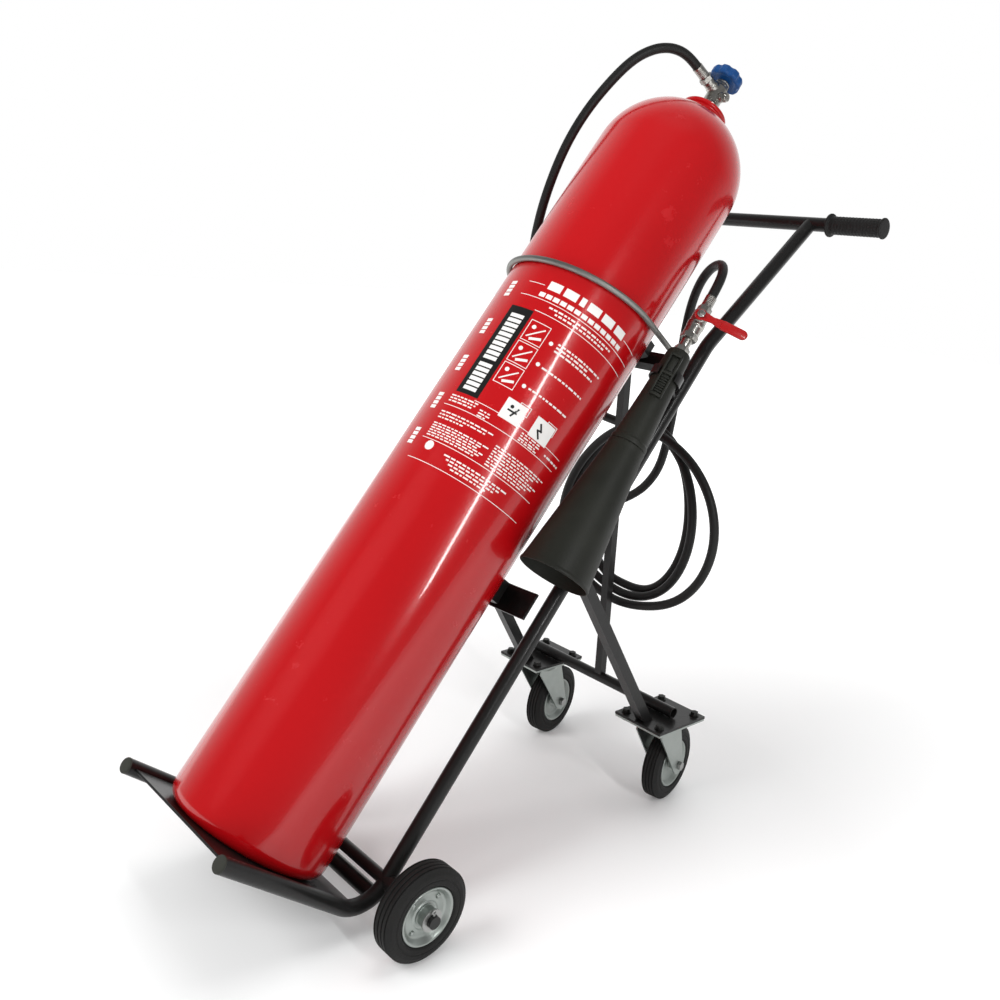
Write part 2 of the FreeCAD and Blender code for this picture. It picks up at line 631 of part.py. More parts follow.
def rim_points(wide, bore, hub_radius, hub_half):
    # two dished discs that meet at the middle, a rolled edge, and a hub tube
    rim, half = dim["rim_radius"], wide / 2
    return [(bore, -hub_half), (hub_radius, -hub_half), (hub_radius, -half + 9), (hub_radius + 6, -half + 8),
            (rim - 12, -half + 10), (rim - 5, -half + 3), (rim - 1, -half + 2), (rim, -half + 3),
            (rim, half - 3), (rim - 1, half - 2), (rim - 5, half - 3), (rim - 12, half - 10),
            (hub_radius + 6, half - 8), (hub_radius, half - 9), (hub_radius, hub_half), (bore, hub_half)]


def caster_wheels():
    wide = dim["caster_tyre_width"]
    for side, sign in (("right", 1), ("left", -1)):
        caster_fork(side, sign)
        _, wheel = caster_frame(sign)
        place = wheel.multiply(world(rotation=ACROSS))
        node("caster_tyre_" + side, turned("caster_tyre_" + side, tyre_points(wide, (-7.0, 7.0)), place))
        node("caster_rim_" + side, turned("caster_rim_" + side, rim_points(wide, 5.05, 11, 24.5), place))


# ---------- main wheels and axle ----------

def main_wheels():
    r = dim["axle_radius"]
    reach = dim["axle_reach"]
    bar = rod("axle_bar", r, 2 * reach, axle_place(-float(reach)))
    start = num["tube_spacing"] + num["tube_radius"] + 0.5
    stop = num["wheel_x"] - 24.8
    sleeves = []
    for sign in (1, -1):
        place = axle_place(start if sign > 0 else -stop)
        sleeves.append(rod("axle_sleeve_%d" % sign, 13, stop - start, place))
    pin_x = num["wheel_x"] + 24.5 + 3.5 + 2.2
    pin_holes = []
    pins, washers = [], []
    centre = axle_centre()
    for sign in (1, -1):
        low = world(sign * pin_x, centre.y, centre.z - 16)
        pin_holes.append(rod("axle_pin_hole_%d" % sign, 2.05, 34, low))
        leg = rod("split_pin_leg_%d" % sign, 2, 28, low.multiply(world(0, 0, 2)))
        eye_place = world(sign * pin_x, centre.y, centre.z + 16, ACROSS)
        eye = make("Part::Torus", "split_pin_eye_%d" % sign, eye_place, Radius1=3.2, Radius2=1.4)
        pins.append(fuse("split_pin_%d" % sign, [leg, eye]))
        edge = sign * (num["wheel_x"] + 24.8)
        ring = cut("axle_washer_%d" % sign,
                   rod("axle_washer_out_%d" % sign, 18, 3, axle_place(edge if sign > 0 else edge - 3)),
                   rod("axle_washer_in_%d" % sign, dim["axle_radius"] + 0.02, 9, axle_place(edge - 4.5)))
        washers.append(ring)
    node("axle", cut("axle", fuse("axle_solid", [bar] + sleeves), fuse("axle_pin_holes", pin_holes)))
    node("axle_washers", group("axle_washers", washers))
    node("split_pins", group("split_pins", pins))
    wide = dim["tyre_width"]
    for side, sign in (("right", 1), ("left", -1)):
        place = axle_place(sign * num["wheel_x"])
        node("wheel_tyre_" + side, turned("wheel_tyre_" + side, tyre_points(wide, (-8.0, 8.0)), place))
        node("wheel_rim_" + side, turned("wheel_rim_" + side, rim_points(wide, r + 0.05, 16, 24.5), place))


# ---------- U-bolt ----------

def u_bolt_radius():
    # the tipped ring needs a little more room than the cylinder's own radius
    return num["cylinder_radius"] + num["rod_radius"] + num["ring_gap"]


def u_bolt_tilt():
    # the ring's plane rises a little towards the frame
    return tilt(0, 0, num["ring_height"], turn(AXIS_X, num["ring_tip"]))


def u_bolt_leg(sign, along):
    # a place on one leg, its own Z pointing to the threaded end
    close, radius = math.radians(num["ring_close"]), u_bolt_radius()
    start = V(sign * radius * math.cos(close), radius * math.sin(close), 0)
    ahead = V(-sign * math.sin(close), math.cos(close), 0)
    place = u_bolt_tilt()
    first = place.multVec(start + ahead * along)
    return between(first, place.multVec(start + ahead * (along + 1)))


def u_bolt():
    close, radius = math.radians(num["ring_close"]), u_bolt_radius()
    place = u_bolt_tilt()
    ends = [place.multVec(V(s * radius * math.cos(close), radius * math.sin(close), 0)) for s in (1, -1)]
    front = place.multVec(V(0, -radius, 0))
    tips = [u_bolt_leg(sign, 182).Base for sign in (1, -1)]
    path = Part.Wire([Part.LineSegment(tips[0], ends[0]).toShape(),
                      Part.Arc(ends[0], front, ends[1]).toShape(),
                      Part.LineSegment(ends[1], tips[1]).toShape()])
    node("u_bolt", shaped("u_bolt", sweep(path, num["rod_radius"])))
    nuts = []
    for sign in (1, -1):
        for i, (start, high, flats) in enumerate(((164.6, 2.0, 20), (166.6, 8.0, 17))):
            outer = hexagon("u_nut_%d_%d" % (sign, i), flats, high, u_bolt_leg(sign, start)) if i else \
                rod("u_washer_%d" % sign, flats / 2, high, u_bolt_leg(sign, start))
            hole = rod("u_nut_hole_%d_%d" % (sign, i), num["rod_radius"] + 0.02, high + 2,
                       u_bolt_leg(sign, start - 1))
            nuts.append(cut("u_nut_cut_%d_%d" % (sign, i), outer, hole))
    node("u_bolt_nuts", group("u_bolt_nuts", nuts))


# ---------- horn, ball valve and lever ----------

HORN = tilt(num["horn_x"], num["horn_n"], num["horn_mouth"], turn(AXIS_Y, -num["horn_lean"]))


def horn_place(along=0, rotation=None):
    return HORN.multiply(world(0, 0, along, rotation))


def stem_place(out=0.0):
    # on the ball valve's stem, its own Z pointing out and its own X along the closed lever
    angle = math.radians(num["lever_turn"])
    out_way = V(math.sin(angle), -math.cos(angle), 0)
    lever_way = V(math.cos(angle), math.sin(angle), 0)
    rotation = FreeCAD.Rotation(lever_way, out_way.cross(lever_way), out_way, "ZXY")
    return horn_place(dim["pivot_height"], rotation).multiply(world(0, 0, out))


def horn():
    mouth, seam, top = dim["horn_mouth_radius"], dim["horn_seam_radius"], dim["horn_top_radius"]
    split, end, wall = dim["horn_seam"], dim["horn_top"], dim["horn_wall"]
    points = [(mouth - 1, 0), (mouth, 2), (mouth - 0.8, 6), (seam + 1.2, split - 6), (seam + 1.2, split),
              (seam - wall, split), (seam - wall, split - 6), (mouth - wall - 1.5, 6), (mouth - wall, 0)]
    node("horn_lower", turned("horn_lower", points, horn_place()))
    points = [(seam, split + 0.2), (top, end - 8), (top - 4, end), (9.2, end), (9.2, end - 12),
              (top - wall, end - 16), (seam - wall, split + 0.2)]
    cone_part = turned("horn_upper_cone", points, horn_place())
    bore = cone("horn_upper_bore", seam - wall, top - wall, end - split - 16, horn_place(split + 0.2))
    handle_place = horn_place(336, turn(AXIS_Z, num["lever_turn"]))
    grip = block("horn_upper_grip", 22, 18, 82, handle_place.multiply(world(0, -22)))
    shape = fuse("horn_upper_outside", [cone_part, grip])
    node("horn_upper", cut("horn_upper", shape, bore))
    nipple = rod("nipple_stem", 9.1, 40, horn_place(end - 12))
    collar = hexagon("nipple_hexagon", 24, 10, horn_place(end + 1))
    node("horn_nipple", cut("horn_nipple", fuse("nipple_solid", [nipple, collar]),
                            rod("nipple_bore", 4, 60, horn_place(end - 20))))


def ball_valve():
    pivot = dim["pivot_height"]
    start = num["horn_top"] + 28.1
    body = rod("ball_body_barrel", 14, pivot - start + 18, horn_place(start))
    waist = hexagon("ball_body_hexagon", 27, 10, horn_place(start))
    boss = rod("ball_body_boss", 8, 20, stem_place())
    solid = fuse("ball_body_solid", [body, waist, boss])
    room = rod("ball_body_room", 10.0, 28, horn_place(pivot - 14))
    bore = rod("ball_body_bore", 5, 80, horn_place(start - 2))
    stem_hole = rod("ball_body_stem_hole", 4.04, 30, stem_place())
    node("ball_valve_body", cut("ball_valve_body", solid, fuse("ball_body_bores", [room, bore, stem_hole])))
    ball = cut("ball_drilled", make("Part::Sphere", "ball_round", horn_place(pivot), Radius=9.0),
               rod("ball_bore", 4, 24, stem_place().multiply(world(-12, 0, 0, ACROSS))))
    node("valve_ball", ball)
    seats = []
    for way in (1, -1):
        low = pivot - 13.5 if way < 0 else pivot + 6.5
        seat = rod("seat_out_%d" % way, 9.95, 7, horn_place(low))
        bite = make("Part::Sphere", "seat_bite_%d" % way, horn_place(pivot), Radius=9.1)
        seat = cut("seat_%d" % way, seat, fuse("seat_cuts_%d" % way, [
            bite, rod("seat_hole_%d" % way, 5, 9, horn_place(low - 1))]))
        seats.append(seat)
    node("ball_seats", group("ball_seats", seats))
    stem = rod("stem_rod", 4, 16.6, stem_place(8.6))
    flats = block("stem_flats", 5.5, 5.5, 7, stem_place(25))
    node("valve_stem", fuse("valve_stem", [stem, flats]))
    long, thick = dim["lever_length"], 3.0
    hub = rod("lever_hub", 10, thick, stem_place(22))
    arm = padded("lever_arm", [(0, -7), (24, -5.5), (34, -8), (long - 8, -8), (long, -3), (long, 3),
                               (long - 8, 8), (34, 8), (24, 5.5), (0, 7)], thick, stem_place(22))
    lever_hole = rod("lever_hole", 4.0, 8, stem_place(20))
    node("lever", cut("lever", fuse("lever_solid", [hub, arm]), lever_hole))
    node("lever_nut", cut("lever_nut", hexagon("lever_nut_hexagon", 13, 5, stem_place(25.3)),
                          block("lever_nut_hole", 5.6, 5.6, 8, stem_place(24))))
    nut = hexagon("horn_ferrule_nut", 22, 9, horn_place(dim["ferrule_start"] - 2.9))
    sleeve = rod("horn_ferrule_sleeve", 9.6, dim["ferrule_end"] - dim["ferrule_start"] - 6.1,
                 horn_place(dim["ferrule_start"] + 6.1))
    node("horn_ferrule", fuse("horn_ferrule", [nut, sleeve]))


def horn_holder():
    # a clip round the horn's narrow end, on a short arm from the right side tube
    high = num["horn_mouth"] + 385
    centre = horn_place(385).Base
    grip_radius = 25.5
    place = horn_place(376)
    ring = cut("holder_ring", rod("holder_out", grip_radius + 2.5, 18, place),
               rod("holder_in", grip_radius, 20, place.multiply(world(0, 0, -1))))
    mouth_way = turn(AXIS_Z, 37)
    gap = block("holder_gap", 30, 50, 22, place.multiply(world(0, 0, -2, mouth_way)).multiply(world(0, -30)))
    clip = cut("holder_clip", ring, gap)
    tube = tilt_point(num["tube_spacing"], num["tube_back"], high)
    ahead = unit(tube - centre)
    arm = rod("holder_arm", 5, (tube - centre).Length - grip_radius - 1 - num["tube_radius"] + 1.5,
              between(centre + ahead * (grip_radius + 1), tube))
    trim = rod("holder_trim", dim["tube_radius"] + 0.05, 60,
               tilt(num["tube_spacing"], num["tube_back"], high - 30))
    node("horn_holder", cut("horn_holder", fuse("holder_solid", [clip, arm]), trim))


# ---------- hose ----------

def coil_points():
    # the turns hang in a steep plane, each one a hose's width behind the last
    points = []
    for step in range(COIL_STEPS + 1):
        turns = step / TURN_POINTS
        angle = math.radians(COIL_START - 360 * turns)
        across, up = math.cos(angle), math.sin(angle)
        right = 206 if turns < 0.5 else 140 if turns < 1.5 else 116
        wide = right if across > 0 else num["coil_left"] - 3.5 * turns - 40 * up
        high = num["coil_high"] if up > 0 else num["coil_low"] - 12 * turns
        points.append(V(num["coil_middle_x"] + wide * across,
                        num["coil_front"] + num["turn_gap"] * turns,
                        num["coil_middle_z"] + high * up))
    return points


def bend_radii(points):
    # the widest arc that uses 0.45 of the shorter run on each side of every corner
    radii = []
    for before, corner, after in zip(points, points[1:], points[2:]):
        half = (math.pi - (before - corner).getAngle(after - corner)) / 2
        radii.append(0.45 * min((corner - before).Length, (after - corner).Length) / math.tan(half))
    return radii


def hose_tube(name, points):
    radii = bend_radii(points)
    path = rounded_path(points, radii)
    tube = node(name, shaped(name, sweep(path, num["hose_radius"])))
    expected = math.pi * num["hose_radius"] ** 2 * path.Length
    print(name, "length", round(path.Length), "tightest bends", [round(r) for r in sorted(radii)[:5]],
          "volume over section x length", round(tube.Shape.Volume / expected, 4))
    return path.Length


def coil_outline(points, outwards):
    # a closed curve through one turn, moved outwards or inwards, lying at the coil's front
    moved = []
    middle = V(num["coil_middle_x"], 0, num["coil_middle_z"])
    front = num["coil_front"] - num["hose_radius"]
    for point in points:
        flat = V(point.x, 0, point.z)
        moved.append(flat + unit(flat - middle) * outwards + V(0, front, 0))
    curve = Part.BSplineCurve()
    curve.interpolate(moved, PeriodicFlag=True)
    return Part.Face(Part.Wire(curve.toShape()))


def hose():
    points = coil_points()
    radius = num["hose_radius"]
    deep = points[-1].y - points[0].y + 2 * radius
    outer = coil_outline(points[:TURN_POINTS], radius)
    inner = coil_outline(points[-1 - TURN_POINTS:-1], -radius)
    node("hose_coil", shaped("hose_coil", outer.cut(inner).extrude(V(0, deep, 0))))
    feed = hose_tube("hose_feed", [V(*p) for p in FEED_COURSE] + points[:1])
    tail = hose_tube("hose_tail", points[-1:] + [V(*p) for p in TAIL_COURSE])
    coil = rounded_path(points, bend_radii(points)).Length
    print("hose length", round(feed + coil + tail))


def hose_hook():
    # a bent rod on the strut's rear face that carries the coil's turns
    high, tip = num["hook_height"], num["hook_tip"]
    path = rounded_path([V(0, 286, high - 1), V(0, tip, high), V(0, tip + 2, high + 32)], [11.0])
    rod_solid = shaped("hook_rod", sweep(path, num["hook_radius"]))
    top, low, _ = strut_line()
    middle = between(low, top).multiply(world(0, 0, 300))
    strut = block("hook_trim", 40, dim["strut_side"] + 0.1, 400, middle)
    node("hose_hook", cut("hose_hook", rod_solid, strut))


gas_cylinder()
cylinder_valve()
handwheel()
frame_tubes()
handle_and_grips()
foot()
rests()
legs_and_strut()
caster_mounts()
caster_wheels()
main_wheels()
u_bolt()
horn()
ball_valve()
horn_holder()
hose()
hose_hook()

doc.recompute()
for thing in doc.Objects:
    if "Invalid" in thing.State or "Error" in thing.State:
        raise RuntimeError("failed: " + thing.Name)
for name, thing in nodes.items():
    if thing.Shape.isNull() or not thing.Shape.isValid() or not thing.Shape.Solids:
        raise RuntimeError("bad shape: " + name)

os.makedirs("parts", exist_ok=True)
for name, thing in nodes.items():
    thing.Shape.exportStep("parts/%s.step" % name)
box = FreeCAD.BoundBox()
for name, thing in nodes.items():
    if not name.startswith("hose_"):
        box.add(thing.Shape.BoundBox)
print("nodes", len(nodes), "box", box)
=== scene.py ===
import bpy
import bmesh
import json
import math
import numpy as np
from mathutils import Matrix


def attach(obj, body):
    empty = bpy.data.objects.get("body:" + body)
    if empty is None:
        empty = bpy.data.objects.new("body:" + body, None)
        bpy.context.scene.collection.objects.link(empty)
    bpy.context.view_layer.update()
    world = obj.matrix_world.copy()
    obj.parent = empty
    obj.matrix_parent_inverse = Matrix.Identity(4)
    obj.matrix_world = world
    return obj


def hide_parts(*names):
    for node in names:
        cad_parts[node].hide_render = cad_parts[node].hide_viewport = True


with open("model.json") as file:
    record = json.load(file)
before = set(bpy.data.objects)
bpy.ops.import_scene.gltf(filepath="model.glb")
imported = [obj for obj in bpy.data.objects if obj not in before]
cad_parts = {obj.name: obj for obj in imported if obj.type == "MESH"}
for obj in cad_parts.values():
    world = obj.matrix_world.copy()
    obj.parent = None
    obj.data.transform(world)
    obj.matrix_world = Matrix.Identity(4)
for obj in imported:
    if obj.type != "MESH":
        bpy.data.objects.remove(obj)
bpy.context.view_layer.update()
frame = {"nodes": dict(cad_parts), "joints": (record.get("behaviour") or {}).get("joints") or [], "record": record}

mm = 0.001
record = frame["record"]
bodyOf = {node: body for body, nodes in record["behaviour"]["bodies"].items() for node in nodes}
slotOf = {row["node"]: row["material_slot"] for row in record["subparts"]}
jointOf = {joint["name"]: joint for joint in frame["joints"]}
print("frame loaded:", len(frame["nodes"]), "nodes")


# places: 4 x 4 arrays whose columns are X, Y, Z and the origin, in metres

def unit(vector):
    vector = np.asarray(vector, float)
    return vector / np.linalg.norm(vector)


def placeAt(origin, zAxis, xHint):
    # Z along zAxis, X the part of xHint square to it, Y = Z x X
    z = unit(zAxis)
    x = unit(np.asarray(xHint, float) - np.dot(xHint, z) * z)
    place = np.eye(4)
    place[:3, 0], place[:3, 1], place[:3, 2], place[:3, 3] = x, np.cross(z, x), z, origin
    return place


def moved(place, x=0.0, y=0.0, z=0.0):
    # the same directions, from a point given in the place's own millimetres
    out = place.copy()
    out[:3, 3] = place[:3, 3] + place[:3, :3] @ (np.array([x, y, z]) * mm)
    return out


def turnedPlace(place, degrees):
    # the place turned about its own Z
    c, s = math.cos(math.radians(degrees)), math.sin(math.radians(degrees))
    out = place.copy()
    out[:3, 0] = place[:3, 0] * c + place[:3, 1] * s
    out[:3, 1] = place[:3, 1] * c - place[:3, 0] * s
    return out


def inWorld(place, points):
    # points in the place's own millimetres, to metres in the frame
    return (np.asarray(points, float) * mm) @ place[:3, :3].T + place[:3, 3]


handwheelJoint = jointOf["handwheel_turn"]
leanAxis = unit(handwheelJoint["axis"])
handwheelHeight = 1541.0      # of the joint, along the cylinder
lean = placeAt(np.array(handwheelJoint["pos_m"]) - leanAxis * handwheelHeight * mm, leanAxis, (1, 0, 0))
backWay, acrossWay = lean[:3, 1], lean[:3, 0]

hornPlace = {"across": 184.0, "back": 91.0, "height": 580.0, "lean": 2.0}
hornLean = math.radians(hornPlace["lean"])
hornAxis = leanAxis * math.cos(hornLean) - acrossWay * math.sin(hornLean)
horn = placeAt(moved(lean, hornPlace["across"], hornPlace["back"], hornPlace["height"])[:3, 3],
               hornAxis, acrossWay)


# shapes worked out as arrays: each gives (points, faces)

def gridSolid(points, closedRows=False):
    # quads between neighbouring rows and columns; columns always close on themselves
    rows, cols = points.shape[:2]
    index = np.arange(rows * cols).reshape(rows, cols)
    upper = np.roll(index, -1, 0) if closedRows else index[1:]
    lower = index if closedRows else index[:-1]
    faces = np.stack([lower, np.roll(lower, -1, 1), np.roll(upper, -1, 1), upper], -1)
    return points.reshape(-1, 3), faces.reshape(-1, 4)


def softened(corners, cutBack, steps=4, closed=False):
    # each corner of an outline becomes the curve (1-t)^2 a + 2t(1-t) corner + t^2 b,
    # where a and b lie cutBack before and after it, or 0.45 of a shorter side
    corners = np.asarray(corners, float)
    before, after = np.roll(corners, 1, 0), np.roll(corners, -1, 0)
    if not closed:
        before[0], after[-1] = corners[0], corners[-1]
    toBefore, toAfter = before - corners, after - corners
    longBefore = np.linalg.norm(toBefore, axis=1)[:, None] + 1e-9
    longAfter = np.linalg.norm(toAfter, axis=1)[:, None] + 1e-9
    back = np.minimum(cutBack, 0.45 * np.minimum(longBefore, longAfter))
    a, b = corners + toBefore / longBefore * back, corners + toAfter / longAfter * back
    t = np.linspace(0, 1, steps + 1)[None, :, None]
    curve = (1 - t) ** 2 * a[:, None] + 2 * t * (1 - t) * corners[:, None] + t ** 2 * b[:, None]
    if not closed:
        curve[0], curve[-1] = corners[0], corners[-1]
    return curve.reshape(-1, corners.shape[1])


def turnedSolid(profile, place, sides=96, closed=False, shape=None):
    # (r cos t, r sin t, z) for a profile of (r, z); where shape is given, r becomes shape(r, z, t)
    profile = np.asarray(profile, float)
    t = np.linspace(0, 2 * np.pi, sides, endpoint=False)
    r, z = profile[:, :1], profile[:, 1:]
    if shape is not None:
        r = shape(r, z, t[None, :])
    r = np.broadcast_to(r, (len(profile), sides))
    points = np.stack([r * np.cos(t), r * np.sin(t), np.broadcast_to(z, r.shape)], -1)
    return gridSolid(inWorld(place, points), closed)


def hexSolid(flats, high, place, bore=0.0, sides=72):
    # r = the lesser of a hexagon's, flats / 2 / cos(t folded to +-30 degrees), and a chamfer cone's
    corner = flats * 0.5774
    profile = np.array([(bore, 0), (corner - 2, 0), (corner, 1.1), (corner, high - 1.1), (corner - 2, high),
                        (bore, high)])

    def shape(r, z, t):
        folded = (t + np.pi / 6) % (np.pi / 3) - np.pi / 6
        return np.minimum(r, flats / 2 / np.cos(folded))
    return turnedSolid(profile, place, sides, closed=bore > 0, shape=shape)


def barAlong(route, planeNormal, radius, sides=32, roundEnd=1.0):
    # route + radius (side cos t + planeNormal sin t), side = ahead x planeNormal; both ends chamfered
    route = np.asarray(route, float)
    ahead = np.gradient(route, axis=0)
    ahead /= np.linalg.norm(ahead, axis=1)[:, None]
    side = np.cross(ahead, planeNormal)
    start = route[0] - ahead[0] * roundEnd * mm
    end = route[-1] + ahead[-1] * roundEnd * mm
    route = np.concatenate([[start, start], route, [end, end]])
    side = np.concatenate([side[:1], side[:1], side, side[-1:], side[-1:]])
    radii = np.full(len(route), radius)
    radii[[0, -1]], radii[[1, -2]] = 0.0, radius - roundEnd
    t = np.linspace(0, 2 * np.pi, sides, endpoint=False)
    ring = (side[:, None] * np.cos(t)[:, None] + np.asarray(planeNormal) * np.sin(t)[:, None])
    return gridSolid(route[:, None] + ring * (radii * mm)[:, None, None])


def outlineSolid(outline, high, place, edge=0.8):
    # a flat outline raised to a plate whose edges go in by edge at both faces
    outline = np.asarray(outline, float)
    ahead = np.roll(outline, -1, 0) - np.roll(outline, 1, 0)
    inward = np.stack([-ahead[:, 1], ahead[:, 0]], -1)
    inward /= np.linalg.norm(inward, axis=1)[:, None] + 1e-12
    steps = np.array([(edge, 0), (edge * 0.3, edge * 0.3), (0, edge), (0, high - edge),
                      (edge * 0.3, high - edge * 0.3), (edge, high)])
    flat = outline[None] + inward[None] * steps[:, :1, None]
    points = np.concatenate([flat, np.broadcast_to(steps[:, 1:, None], flat.shape[:2] + (1,))], -1)
    points, faces = gridSolid(inWorld(place, points))
    count = len(outline)
    caps = [list(range(count))[::-1], list(range(5 * count, 6 * count))]
    return points, [*faces.tolist(), *caps]


def roundedBlock(long, wide, high, place, corner=2.0, edge=0.8):
    # a rectangle with softened corners, raised from z = 0 to high
    half = np.array([(-long, -wide), (long, -wide), (long, wide), (-long, wide)]) / 2
    return outlineSolid(softened(half, corner, 5, closed=True), high, place, edge)


# pieces

finishes = {}


def makePiece(name, solids, nodes, sharp=35.0, finish=None):
    # joins closed solids into one mesh that rides on its first node's body
    points, faces, start = [], [], 0
    for part, sides in solids:
        points.append(part)
        sides = sides.tolist() if isinstance(sides, np.ndarray) else sides
        faces += [[corner + start for corner in side] for side in sides]
        start += len(part)
    mesh = bpy.data.meshes.new(name)
    mesh.from_pydata(np.concatenate(points).tolist(), [], faces)
    grown = bmesh.new()
    grown.from_mesh(mesh)
    bmesh.ops.remove_doubles(grown, verts=grown.verts, dist=1e-6)
    bmesh.ops.recalc_face_normals(grown, faces=grown.faces)
    grown.to_mesh(mesh)
    grown.free()
    return settle(name, mesh, nodes, sharp, finish)


def settle(name, mesh, nodes, sharp, finish=None):
    # smooth shading up to the sharp angle, the finish (else the one for the first node's slot), and the first
    # node's body
    mesh.polygons.foreach_set("use_smooth", np.ones(len(mesh.polygons), bool))
    mesh.set_sharp_from_angle(angle=math.radians(sharp))
    piece = bpy.data.objects.new(name, mesh)
    bpy.context.scene.collection.objects.link(piece)
    mesh.materials.append(finish or finishes[slotOf[nodes[0]]])
    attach(piece, bodyOf[nodes[0]])
    return piece


def dressNode(node, name, edge=0.6, sharp=32.0, finish=None):
    # a welded copy of a CAD node with its edges rounded by a bevel
    source = frame["nodes"][node].data
    points = np.zeros(len(source.vertices) * 3)
    source.vertices.foreach_get("co", points)
    corners = np.zeros(len(source.loops), int)
    source.loops.foreach_get("vertex_index", corners)
    mesh = bpy.data.meshes.new(name)
    mesh.from_pydata(points.reshape(-1, 3).tolist(), [], corners.reshape(-1, 3).tolist())
    grown = bmesh.new()
    grown.from_mesh(mesh)
    bmesh.ops.remove_doubles(grown, verts=grown.verts, dist=2e-6)
    bmesh.ops.dissolve_limit(grown, angle_limit=math.radians(0.6), verts=grown.verts, edges=grown.edges)
    grown.to_mesh(mesh)
    grown.free()
    piece = settle(name, mesh, [node], sharp, finish)
    if edge:
        bevel = piece.modifiers.new("edges", "BEVEL")
        bevel.width, bevel.segments, bevel.limit_method = edge * mm, 2, "ANGLE"
        bevel.angle_limit = math.radians(sharp)
        bevel.harden_normals = True
    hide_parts(node)
    return piece


# shader maths

class Wire:
    # a node's output with + - * / that add Math nodes
    def __init__(self, graph, socket):
        self.graph, self.socket = graph, socket

    def math(self, operation, other=None, swapped=False):
        values = [self, other] if not swapped else [other, self]
        return self.graph.add("Math", {"operation": operation},
                              dict(enumerate(v for v in values if v is not None)))

    def __add__(self, other):
        return self.math("ADD", other)

    def __sub__(self, other):
        return self.math("SUBTRACT", other)

    def __rsub__(self, other):
        return self.math("SUBTRACT", other, True)

    def __mul__(self, other):
        return self.math("MULTIPLY", other)

    __radd__, __rmul__ = __add__, __mul__

    def above(self, edge, soft=0.02):
        # 0 below edge, 1 above it, with a ramp of width soft
        return self.graph.add("MapRange", {}, {"Value": self, "From Min": edge - soft / 2,
                                               "From Max": edge + soft / 2})


class Graph:
    def __init__(self, name):
        self.material = bpy.data.materials.new(name)
        self.material.use_nodes = True
        self.tree = self.material.node_tree
        self.tree.nodes.clear()
        self.place = self.add("TexCoord", {}, {}, "Object")

    def add(self, kind, settings, values, output=0):
        # one node of any type: its settings first, then values or links into its sockets
        node = self.tree.nodes.new("ShaderNode" + kind)
        for key, value in settings.items():
            if key == "stops":
                ramp = node.color_ramp.elements
                for i, (where, colour) in enumerate(value):
                    stop = ramp[i] if i < 2 else ramp.new(where)
                    stop.position, stop.color = where, (*colour, 1.0)
            else:
                setattr(node, key, value)
        for key, value in values.items():
            if isinstance(value, Wire):
                self.tree.links.new(value.socket, node.inputs[key])
            else:
                node.inputs[key].default_value = value
        return Wire(self, node.outputs[output]) if len(node.outputs) else None

    def noise(self, scale, detail=3.0, rough=0.5, where=None):
        return self.add("TexNoise", {}, {"Vector": where or self.place, "Scale": scale, "Detail": detail,
                                         "Roughness": rough})

    def colours(self, mask, low, high):
        return self.add("ValToRGB", {"stops": [(0.0, low), (1.0, high)]}, {"Fac": mask})

    def bump(self, height, strength, distance):
        return self.add("Bump", {}, {"Height": height, "Strength": strength, "Distance": distance})

    def surface(self, **sockets):
        shader = self.add("BsdfPrincipled", {}, {key.replace("_", " "): value
                                                 for key, value in sockets.items()})
        self.add("OutputMaterial", {}, {"Surface": shader})
        return self.material


def paint(name, deep, pale, rough, coat, peel, scuff):
    # sprayed paint: slow colour drift, orange peel, and thin scuffs where a fine noise passes its edge
    g = Graph(name)
    drift = g.noise(3.0, 2.0)
    fine = g.noise(170.0, 4.0, 0.6)
    marks = (g.noise(38.0, 8.0, 0.72) * 0.6 + g.noise(7.0, 2.0) * 0.4).above(scuff, 0.05)
    colour = g.colours(drift * 0.8 + marks * 0.35, deep, pale)
    return g.surface(Base_Color=colour, Roughness=drift * 0.08 + marks * 0.22 + rough, Coat_Weight=coat,
                     Coat_Roughness=0.06, Specular_IOR_Level=0.24,
                     Normal=g.bump(fine + g.noise(46.0, 2.0) * 1.6, 0.06 * peel, 0.002))


def metal(name, deep, pale, rough, grain, dull=0.0):
    # plated metal: cloudy plating, fine grain and duller patches
    g = Graph(name)
    cloud = g.noise(26.0, 5.0, 0.65)
    patch = g.noise(9.0, 3.0).above(0.56, 0.16)
    fine = g.noise(420.0, 3.0)
    colour = g.colours(cloud * 0.75 + fine * 0.2, deep, pale)
    return g.surface(Base_Color=colour, Metallic=1.0, Roughness=cloud * 0.16 + patch * dull + rough,
                     Normal=g.bump(fine * 0.5 + cloud, grain, 0.001))


def moulded(name, deep, pale, rough, grain, scale=300.0, dust=0.0):
    # rubber or plastic: pebbled grain, slow shade changes and a little dust
    g = Graph(name)
    drift = g.noise(11.0, 4.0, 0.6)
    pebble = g.add("TexVoronoi", {"feature": "SMOOTH_F1"}, {"Vector": g.place, "Scale": scale})
    fine = g.noise(scale * 1.4, 2.0)
    settled = g.noise(5.0, 6.0, 0.7).above(0.58, 0.2) * dust
    colour = g.colours(drift * 0.7 + settled, deep, pale)
    return g.surface(Base_Color=colour, Roughness=drift * 0.12 + settled * 0.3 + rough,
                     Specular_IOR_Level=0.25, Normal=g.bump(pebble + fine * 0.4, grain, 0.001))


